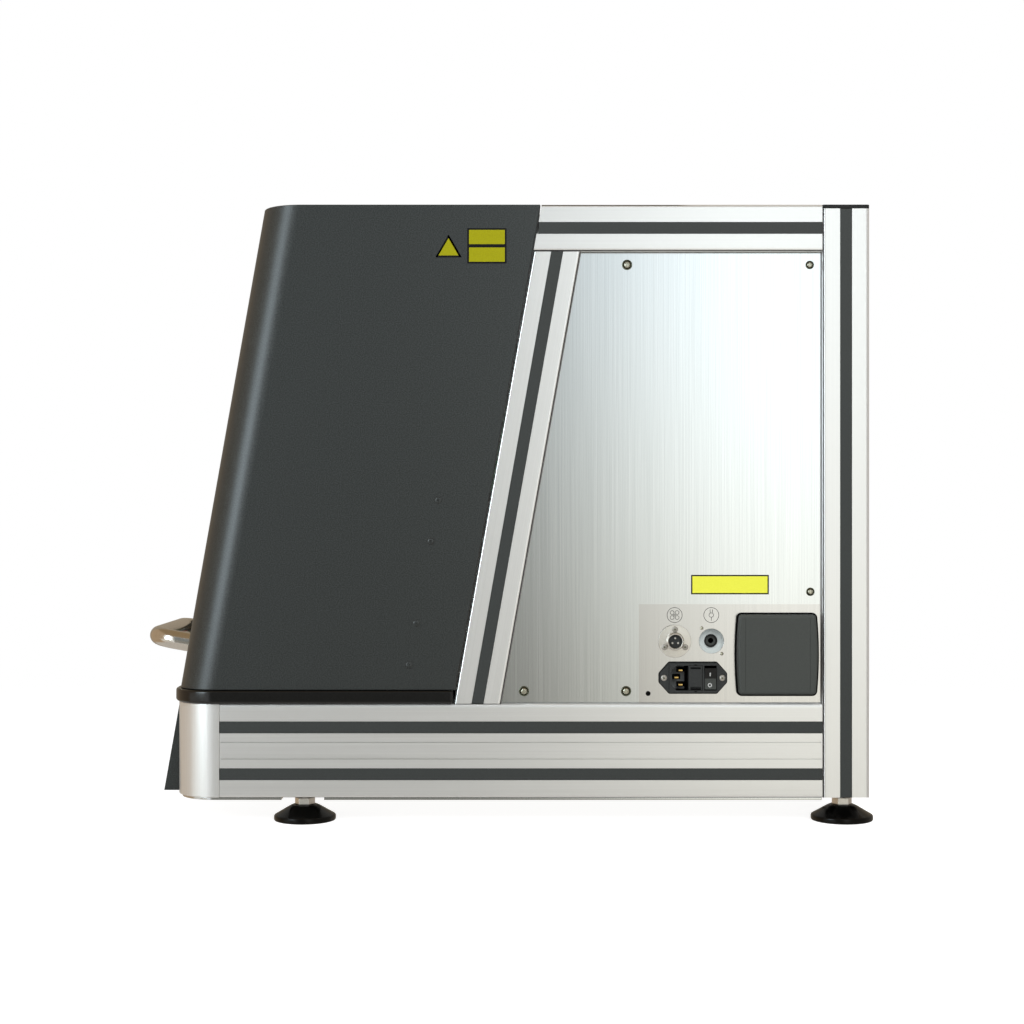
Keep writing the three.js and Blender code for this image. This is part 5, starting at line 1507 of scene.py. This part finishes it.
# The middle zone is the groove round the head, painted near black as its shade.
button_looks = [bright_steel, near_black_and_shade, washer_steel_and_recess_shade]
for side, sign in sides:
    facing = sign * OUT
    for index, (size_share, back, up) in enumerate(PANEL_SCREWS):
        place = Vector((sign * panel_skin, back, up))
        name = f"panel_screw_{side}_{index + 1}"
        section = [(size_share * radius, size_share * height) for radius, height in BUTTON]
        zones = [size_share * limit for limit in BUTTON_ZONES]
        turned(name, section, facing, place, "machine", button_looks, (), BUTTON_STEPS, zones)
    for index, (back, up) in enumerate(HOOD_SCREWS):
        place = Vector((sign * RIGHT_FACE, back, up))
        name = f"hood_screw_{side}_{index + 1}"
        turned(name, PAINTED, facing, place, "hood", [hood_paint], (), PAINTED_STEPS)
print("Screws per side:", len(PANEL_SCREWS) + len(HOOD_SCREWS))

# %% [markdown]
# Three bare yellow plates with black borders are stuck on the right side: a long one on the panel, a
# triangle and a two-field one on the hood. A plate is a thin black sheet whose yellow fields are made
# by insetting its upper faces. A printed picture would show the same, but a field of its own stays
# sharp at any distance.

# %% Yellow plates
PLATE_THICK = 0.0003
LONG_SIZE = (0.0750, 0.0188)
LONG_PLACE = (0.2304, 0.2294)
LONG_BORDER = 0.0013
TRIANGLE_RADIUS = 0.01467
TRIANGLE_ROUND = 0.0008
TRIANGLE_PLACE = (-0.0410, 0.5515)
TRIANGLE_BORDER = 0.0018
FIELDS_SIZE = (0.0376, 0.0338)
FIELDS_PLACE = (-0.0041, 0.55525)
FIELDS_BORDER = 0.0016


def plate(name, bm, border, out, place, body, yellow):
    fields = [face for face in bm.faces if face.calc_center_median().z > PLATE_THICK - MERGE]
    bmesh.ops.inset_individual(bm, faces=fields, thickness=border, use_even_offset=True)
    for face in fields:
        face.material_index = 1
    put_right(bm, out, *place)
    finish_piece(bm, name, body, [plate_black, yellow])


long_plate = bmesh.new()
raised(long_plate, rectangle(long_plate, *LONG_SIZE), PLATE_THICK)
plate("plate_panel", long_plate, LONG_BORDER, panel_skin, LONG_PLACE, "machine", plate_yellow)

triangle = bmesh.new()
bmesh.ops.create_circle(triangle, cap_ends=True, radius=TRIANGLE_RADIUS, segments=3)
raised(triangle, round_corners(triangle, triangle.faces[:][0], TRIANGLE_ROUND), PLATE_THICK)
plate("plate_triangle", triangle, TRIANGLE_BORDER, RIGHT_FACE, TRIANGLE_PLACE, "hood", hood_yellow)

two_fields = bmesh.new()
rectangle(two_fields, *FIELDS_SIZE)
slice_at(two_fields, 1, (0.0,))
extruded(two_fields, list(two_fields.faces), (0, 0, PLATE_THICK))
plate("plate_two_fields", two_fields, FIELDS_BORDER, RIGHT_FACE, FIELDS_PLACE, "hood", hood_yellow)

# %% [markdown]
# Printed marks are thin layers of ink: rings and bars are drawn flat and pulled out by a hair. Above
# the two sockets stand round icons, one with a small fan sign and one with a plain plug sign.

# %% Icons over the sockets
INK = 0.00008
ICON_RADIUS = 0.0075
ICON_LINE = 0.0005
ICON_STEPS = 48
ICON_UP = 0.2000
FAN_BACK = 0.1770
FAN_HUB = 0.0011
HUB_STEPS = 16
FAN_BLADE = 0.0021
FAN_CIRCLE = 0.0034
FAN_BLADES = 4
FAN_STEPS = 20
PLUG_BACK = 0.2124
PLUG_BODY = 0.0024
PLUG_STEPS = 24
PLUG_LINES = ((0.0032, 0.0011, 0.0038), (0.0032, -0.0011, 0.0038), (0.0030, 0.0, -0.0039))


def ink_ring(bm, radius, line, segments, middle=(0, 0)):
    inner = bmesh.ops.create_circle(bm, cap_ends=False, radius=radius - line, segments=segments)
    outer = bmesh.ops.create_circle(bm, cap_ends=False, radius=radius, segments=segments)
    verts = inner["verts"] + outer["verts"]
    edges = list({edge for v in verts for edge in v.link_edges})
    bmesh.ops.bridge_loops(bm, edges=edges)
    bmesh.ops.translate(bm, vec=(*middle, 0), verts=verts)


def printed(name, bm, out, back, up, body, made):
    extruded(bm, list(bm.faces), (0, 0, INK))
    put_right(bm, out, back, up)
    finish_piece(bm, name, body, [made])


fan_icon = bmesh.new()
ink_ring(fan_icon, ICON_RADIUS, ICON_LINE, ICON_STEPS)
ink_ring(fan_icon, FAN_HUB, ICON_LINE, HUB_STEPS)
for index in range(FAN_BLADES):
    angle = QUARTER / 2 + index * QUARTER
    middle = (FAN_CIRCLE * math.cos(angle), FAN_CIRCLE * math.sin(angle))
    ink_ring(fan_icon, FAN_BLADE, ICON_LINE, FAN_STEPS, middle)
printed("icon_fan", fan_icon, panel_skin, FAN_BACK, ICON_UP, "machine", icon_ink)

plug_icon = bmesh.new()
ink_ring(plug_icon, ICON_RADIUS, ICON_LINE, ICON_STEPS)
ink_ring(plug_icon, PLUG_BODY, ICON_LINE, PLUG_STEPS)
for length, back, up in PLUG_LINES:
    rectangle(plug_icon, ICON_LINE, length, (back, up))
printed("icon_plug", plug_icon, panel_skin, PLUG_BACK, ICON_UP, "machine", icon_ink)
print("Icons printed", 1000 * INK, "mm thick")

# %% [markdown]
# The rocker shows a bar on its tilted half and a ring on its upright half, both in thicker ink. Above
# and below the fuse drawer a fingernail slot, and beside each a notch in the rim, are thin near-black
# marks painted as their shade.

# %% Marks on rocker, drawer and rim
UPPER_TILT = math.radians(16.6)
UPPER_MARK = (0.27688, 0.2108, 0.1431)
LOWER_MARK = (0.27574, 0.2106, 0.1327)
BAR_MARK = (0.0011, 0.0035)
RING_MARK = 0.0020
RING_LINE = 0.0008
RING_STEPS = 28
SLOT_BACK = 0.0024
DRAWER_SLOTS = (("fuse_slot_top", 0.0085, 0.0014, 0.0095), ("fuse_slot_bottom", 0.0101, 0.0016, -0.0107))
RIM_NOTCHES = (("fuse_notch_top", 0.0025, 0.0008, 0.0126), ("fuse_notch_bottom", 0.0025, 0.0010, -0.0130))
HOLE = ((0.0, 0.0001), (0.0022, 0.0001), (0.0024, 0.0))
HOLE_BACK = 0.1514
HOLE_UP = 0.1243
HOLE_STEPS = 28


def printed_on_rocker(name, bm, place, tilt):
    extruded(bm, list(bm.faces), (0, 0, 2 * INK))
    lean = Matrix.Rotation(tilt, 4, "Y")
    bmesh.ops.transform(bm, matrix=lean @ FACING_RIGHT, verts=bm.verts)
    bmesh.ops.translate(bm, vec=place, verts=bm.verts)
    finish_piece(bm, name, rocker_body, [mark_ink])


rocker_bar = bmesh.new()
rectangle(rocker_bar, *BAR_MARK)
printed_on_rocker("rocker_mark_on", rocker_bar, UPPER_MARK, UPPER_TILT)
rocker_ring = bmesh.new()
ink_ring(rocker_ring, RING_MARK, RING_LINE, RING_STEPS)
printed_on_rocker("rocker_mark_off", rocker_ring, LOWER_MARK, 0.0)
drawer_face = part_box("fuse_drawer")[1].x
drawer_marks = (DRAWER_SLOTS, drawer_face, body_of("fuse_drawer"))
rim_marks = (RIM_NOTCHES, panel_face + rim_level, "machine")
# Slots and notches are flat near-black marks: painted shade, not cuts.
for marks, out, body in (drawer_marks, rim_marks):
    for name, width, height, up in marks:
        mark = bmesh.new()
        rectangle(mark, width, height)
        printed(name, mark, out, inlet_y + SLOT_BACK, inlet_z + up, body, near_black_and_shade)
# A near-black disc on the panel is painted shade for a small hole.
hole_place = Vector((panel_skin, HOLE_BACK, HOLE_UP))
turned("panel_hole", HOLE, OUT, hole_place, "machine", [near_black_and_shade], (), HOLE_STEPS)
print("Ink on the rocker is", 2000 * INK, "mm thick")

# %% [markdown]
# The controls on the hidden front are turned plastic heads: a low green start button and a red
# mushroom for the emergency stop. A half section is written downward from the head's face, and the
# head is turned to lean with the panel that it stands on.

# %% Start button and emergency stop
START_HEAD = (
    (0.0, -0.0117),
    (0.0090, -0.0117),
    (0.0090, -0.0097),
    (0.0075, -0.0097),
    (0.0075, -0.0040),
    (0.0108, -0.0040),
    (0.0110, -0.0036),
    (0.0110, -0.0011),
    (0.0107, -0.0004),
    (0.0100, 0.0),
    (0.0088, 0.0),
    (0.0080, -0.0005),
    (0.0050, -0.0009),
    (0.0, -0.0010),
)
STOP_HEAD = (
    (0.0, -0.0287),
    (0.0115, -0.0287),
    (0.0115, -0.0267),
    (0.0100, -0.0267),
    (0.0100, -0.0140),
    (0.0190, -0.0140),
    (0.0198, -0.0136),
    (0.0200, -0.0128),
    (0.0200, -0.0080),
    (0.0194, -0.0058),
    (0.0180, -0.0040),
    (0.0158, -0.0024),
    (0.0126, -0.0011),
    (0.0084, -0.0004),
    (0.0042, -0.0001),
    (0.0, 0.0),
)
HEADS = (
    ("start_button", START_HEAD, green_plastic, "green_plastic"),
    ("emergency_stop", STOP_HEAD, red_plastic, "red_plastic"),
)


def head_place(node):
    points = [v.co for v in frame["nodes"][node].data.vertices]
    upward = lean_turn @ UP
    rises = [point.dot(upward) for point in points]
    rise = (min(rises) + max(rises)) / 2
    reach = max(point.dot(forward) for point in points)
    return middle_of(node).x * OUT + rise * upward + reach * forward


for node, section, made, slot in HEADS:
    place = head_place(node)
    turned(node + "_dressed", section, forward, place, body_of(node), [made], [node])
    print(node, "has its face at", [round(value, 4) for value in place])

# %% [markdown]
# Inside stand the work table, the height column with its screw and slide, the scan head, the laser
# source and the power supply. Beside them run the hood's guides and gas springs. They are machined or
# bought pieces with plain forms, so they are softened copies in their own finishes. The fan's blades
# are so thin that they get half the usual edge.

# %% Inner parts
INNER_PARTS = (
    ("work_table", black_anodised, "black_metal"),
    ("z_column", aluminium["z"], "machined_metal"),
    ("lead_screw", ground_steel, "steel"),
    ("z_slide", machined_metal, "machined_metal"),
    ("scan_head", black_anodised, "black_metal"),
    ("focus_lens", black_anodised, "black_metal"),
    ("laser_source", black_anodised, "black_metal"),
    ("power_supply", machined_metal, "machined_metal"),
    ("fan_frame", black_plastic, "black_plastic"),
)
GUIDE_PARTS = (
    ("hood_rail", ground_steel, "steel"),
    ("hood_carriage", black_anodised, "black_metal"),
    ("gas_spring_tube", black_anodised, "black_metal"),
    ("gas_spring_rod", ground_steel, "steel"),
)
for node, made, slot in INNER_PARTS:
    softened(node, made)
softened("fan_rotor", black_plastic, SMALL_EDGE / 2)
for side, _ in sides:
    for part, made, slot in GUIDE_PARTS:
        softened(f"{part}_{side}", made)
shown = [node for node, item in frame["nodes"].items() if not item.hide_render]
print("CAD nodes still shown:", shown)

# %% [markdown]
# The room is plain: a pale floor that fades out before any horizon shows, a white world, and two large
# soft lamps. Metal is only as lively as what it mirrors, so glowing cards stand where reflections see
# them and the camera doesn't.

# %% Floor, cards and lamps as functions
def stage_plane(name, location, target, size, made):
    bm = bmesh.new()
    bmesh.ops.create_grid(bm, x_segments=1, y_segments=1, size=0.5)
    bmesh.ops.scale(bm, vec=(*size, 1), verts=bm.verts)
    facing = (Vector(target) - Vector(location)).to_track_quat("Z", "Y").to_matrix().to_4x4()
    bmesh.ops.transform(bm, matrix=Matrix.Translation(location) @ facing, verts=bm.verts)
    mesh = bpy.data.meshes.new(name)
    bm.to_mesh(mesh)
    bm.free()
    mesh.materials.append(made)
    item = bpy.data.objects.new(name, mesh)
    bpy.context.scene.collection.objects.link(item)
    return item


def card(name, location, target, size, glow):
    item = stage_plane(name, location, target, size, glow)
    item.visible_camera = False
    item.visible_diffuse = False
    item.visible_shadow = False
    item.visible_transmission = False


def lamp(name, location, target, size, energy):
    data = bpy.data.lights.new(name, "AREA")
    data.shape = "RECTANGLE"
    data.size, data.size_y = size
    data.energy = energy
    item = bpy.data.objects.new(name, data)
    item.location = location
    aimed = Vector(target) - Vector(location)
    item.rotation_euler = aimed.to_track_quat("-Z", "Y").to_euler()
    item.visible_glossy = False
    bpy.context.scene.collection.objects.link(item)


# %% Glow and its shading as functions
def glow_material(name, shade, strength=1.0):
    glow = plain_material(name, (0.0, 0.0, 0.0, 1.0), 1.0)
    shader_input(glow, "Specular IOR Level").default_value = 0.0
    shader_input(glow, "Emission Color").default_value = shade
    shader_input(glow, "Emission Strength").default_value = strength
    return glow


def distance_from(made, centre, squash=(1.0, 1.0, 1.0), turn=ORIGIN):
    tree = made.node_tree
    result = object_vector(made, turn)
    for operation, value in (("SUBTRACT", centre), ("MULTIPLY", squash)):
        node = tree.nodes.new("ShaderNodeVectorMath")
        node.operation = operation
        node.inputs[1].default_value = value
        tree.links.new(result, node.inputs[0])
        result = node.outputs["Vector"]
    length = tree.nodes.new("ShaderNodeVectorMath")
    length.operation = "LENGTH"
    tree.links.new(result, length.inputs[0])
    return length.outputs["Value"]


def tint_by_height(glow, low, high, lower, upper):
    tree = glow.node_tree
    split = tree.nodes.new("ShaderNodeSeparateXYZ")
    tree.links.new(object_vector(glow), split.inputs["Vector"])
    tint = mix_colors(glow, range_node(tree, split.outputs["Z"], low, high), lower, upper)
    tree.links.new(tint, shader_input(glow, "Emission Color"))


def strength_by(glow, level):
    glow.node_tree.links.new(level, shader_input(glow, "Emission Strength"))


print("Materials before the stage:", len(bpy.data.materials))

# %% [markdown]
# The wide card stands behind the camera, bright at its upper right and dim and warmer at its lower
# left. The tall strip beside it is what the rounded corners mirror, and it turns dark and warm near
# the ground.

# %% Wide card and strip card
CARD_OUT = 2.4
BRIGHT_SPOT = (CARD_OUT, 0.696, 0.735)
BRIGHT_LEAN = (math.radians(-5.7), 0.0, 0.0)
BRIGHT_SQUASH = (1.0, 1.0, 0.34)
BRIGHT_REACH = 0.84
WIDE_LEVELS = (1.84, 0.25)
WIDE_HEIGHTS = (-0.3, 0.9)
WIDE_TINTS = ((1.0, 0.965, 0.84, 1.0), (0.90, 0.975, 1.0, 1.0))
WIDE_PLACE = (CARD_OUT, 0.2, 0.6)
WIDE_TARGET = (0.0, 0.2, 0.6)
WIDE_SIZE = (2.6, 3.2)
STRIP_SPOT = (1.80, -1.43, 0.0)
STRIP_LEAN = (math.radians(19), 0.0, 0.0)
STRIP_SQUASH = (1.0, 1.0, 0.0)
STRIP_REACH = 0.80
STRIP_LEVELS = (9.7, 3.2)
STRIP_HEIGHTS = (-0.02, 0.20)
STRIP_TINTS = ((0.085, 0.080, 0.070, 1.0), (0.80, 0.93, 1.0, 1.0))
STRIP_PLACE = (1.60, -1.62, 0.60)
STRIP_TARGET = (0.26, -0.25, 0.60)
STRIP_SIZE = (0.80, 2.4)

wide_glow = glow_material("wide card glow", (1.0, 1.0, 1.0, 1.0))
wide_far = distance_from(wide_glow, BRIGHT_SPOT, BRIGHT_SQUASH, BRIGHT_LEAN)
wide_level = range_node(wide_glow.node_tree, wide_far, 0.0, BRIGHT_REACH, *WIDE_LEVELS, "SMOOTHSTEP")
strength_by(wide_glow, wide_level)
tint_by_height(wide_glow, *WIDE_HEIGHTS, *WIDE_TINTS)
card("wide card", WIDE_PLACE, WIDE_TARGET, WIDE_SIZE, wide_glow)

strip_glow = glow_material("strip card glow", STRIP_TINTS[1])
strip_far = distance_from(strip_glow, STRIP_SPOT, STRIP_SQUASH, STRIP_LEAN)
strength_by(strip_glow, range_node(strip_glow.node_tree, strip_far, 0.0, STRIP_REACH, *STRIP_LEVELS))
tint_by_height(strip_glow, *STRIP_HEIGHTS, *STRIP_TINTS)
card("strip card", STRIP_PLACE, STRIP_TARGET, STRIP_SIZE, strip_glow)
print("Wide card is brightest at", BRIGHT_SPOT)

# %% [markdown]
# Plain cards close the rest of the room. A pale one stands low before the corner, warm dark walls and
# a ceiling give the metal its darker tones, and a ground far below is mirrored in what looks down. A
# row of the table is a name, a shade, a strength, a place, the point it looks at, and a size.

# %% Plain cards
LOW_PLACE = (0.96, -1.82, -0.35)
LOW_TARGET = (0.27, -0.27, -0.35)
PLAIN_CARDS = (
    ("low corner card", (0.86, 0.82, 0.75, 1.0), 1.0, LOW_PLACE, LOW_TARGET, (0.72, 0.76)),
    ("front wall", (0.56, 0.42, 0.28, 1.0), 0.86, (-0.25, -2.0, 0.6), (-0.25, 0.0, 0.6), (3.1, 3.2)),
    ("rear wall", (0.50, 0.45, 0.39, 1.0), 0.8, (0.9, 1.8, 0.6), (0.9, 0.0, 0.6), (4.2, 3.2)),
    ("ceiling", (0.40, 0.29, 0.17, 1.0), 0.8, (0.1, -0.1, 2.2), (0.1, -0.1, 0.0), (4.4, 4.0)),
    ("far wall", (0.46, 0.39, 0.30, 1.0), 0.8, (-1.8, 0.1, 0.6), (0.0, 0.1, 0.6), (4.4, 3.2)),
    ("ground", (0.74, 0.70, 0.65, 1.0), 0.85, (0.1, -0.1, -1.0), (0.1, -0.1, 0.0), (4.4, 4.0)),
)
for name, shade, strength, place, target, size in PLAIN_CARDS:
    card(name, place, target, size, glow_material(name + " glow", shade, strength))
print("Plain cards:", [row[0] for row in PLAIN_CARDS])

# %% [markdown]
# The floor glows for the camera only, so it looks almost white and still takes a shadow. It turns
# clear with the distance, and the white world shows behind it. What the camera, a mirror or a window
# sees of the world is full white, but the light that it sheds is dimmer and leaves the shadows in.

# %% Floor
FLOOR_SIZE = 6.0
FLOOR_SHADE = (0.55, 0.55, 0.55, 1.0)
FLOOR_ROUGHNESS = 0.9
FLOOR_GLOW = 0.82
FADE_START = 0.55
FADE_END = 1.30
WHITE = (1.0, 1.0, 1.0, 1.0)
floor_paint = plain_material("floor paint", FLOOR_SHADE, FLOOR_ROUGHNESS)
shader_input(floor_paint, "Specular IOR Level").default_value = 0.0
shader_input(floor_paint, "Emission Color").default_value = WHITE
tree = floor_paint.node_tree
path = tree.nodes.new("ShaderNodeLightPath")
strength_by(floor_paint, range_node(tree, path.outputs["Is Camera Ray"], 0.0, 1.0, 0.0, FLOOR_GLOW))
near = distance_from(floor_paint, ORIGIN)
tree.links.new(range_node(tree, near, FADE_START, FADE_END, 1.0, 0.0), shader_input(floor_paint, "Alpha"))
floor = stage_plane("floor", ORIGIN, UP, (FLOOR_SIZE, FLOOR_SIZE), floor_paint)
floor.visible_glossy = False
print("Floor fades out at", FADE_END, "m")

# %% World
WORLD_FILL = 0.50
world = bpy.data.worlds.new("studio")
bpy.context.scene.world = world
world.use_nodes = True
tree = world.node_tree
backdrop = tree.nodes["Background"]
backdrop.inputs["Color"].default_value = WHITE
path = tree.nodes.new("ShaderNodeLightPath")
seen = path.outputs["Is Camera Ray"]
for ray in ("Is Glossy Ray", "Is Transmission Ray"):
    either = tree.nodes.new("ShaderNodeMath")
    either.operation = "MAXIMUM"
    tree.links.new(seen, either.inputs[0])
    tree.links.new(path.outputs[ray], either.inputs[1])
    seen = either.outputs["Value"]
tree.links.new(range_node(tree, seen, 0.0, 1.0, WORLD_FILL, 1.0), backdrop.inputs["Strength"])
print("World fills with", WORLD_FILL)

# %% [markdown]
# Two lamps do the lighting: a large key above the camera's right shoulder and a weaker one before the
# machine's front. The camera stands level at the height of the machine's middle and looks straight at
# its right side.

# %% Lamps and camera
LAMPS = (
    ("key", (1.9, 0.8, 1.5), (0.2, 0.1, 0.3), (1.4, 1.4), 34.0),
    ("front", (0.9, -1.9, 0.9), (0.2, -0.25, 0.35), (1.0, 1.4), 14.0),
)
CAMERA_LENS = 62.2
SENSOR_WIDTH = 36.0
CAMERA_PLACE = (1.980, 0.0200, 0.2995)
for name, place, target, size, energy in LAMPS:
    lamp(name, place, target, size, energy)

camera_data = bpy.data.cameras.new("camera")
camera_data.lens = CAMERA_LENS
camera_data.sensor_width = SENSOR_WIDTH
camera = bpy.data.objects.new("camera", camera_data)
camera.location = CAMERA_PLACE
camera.rotation_euler = (QUARTER, 0, QUARTER)
bpy.context.scene.collection.objects.link(camera)
bpy.context.scene.camera = camera
bpy.context.scene.view_settings.view_transform = "Standard"
print("Camera looks from", [round(value, 4) for value in camera.location])
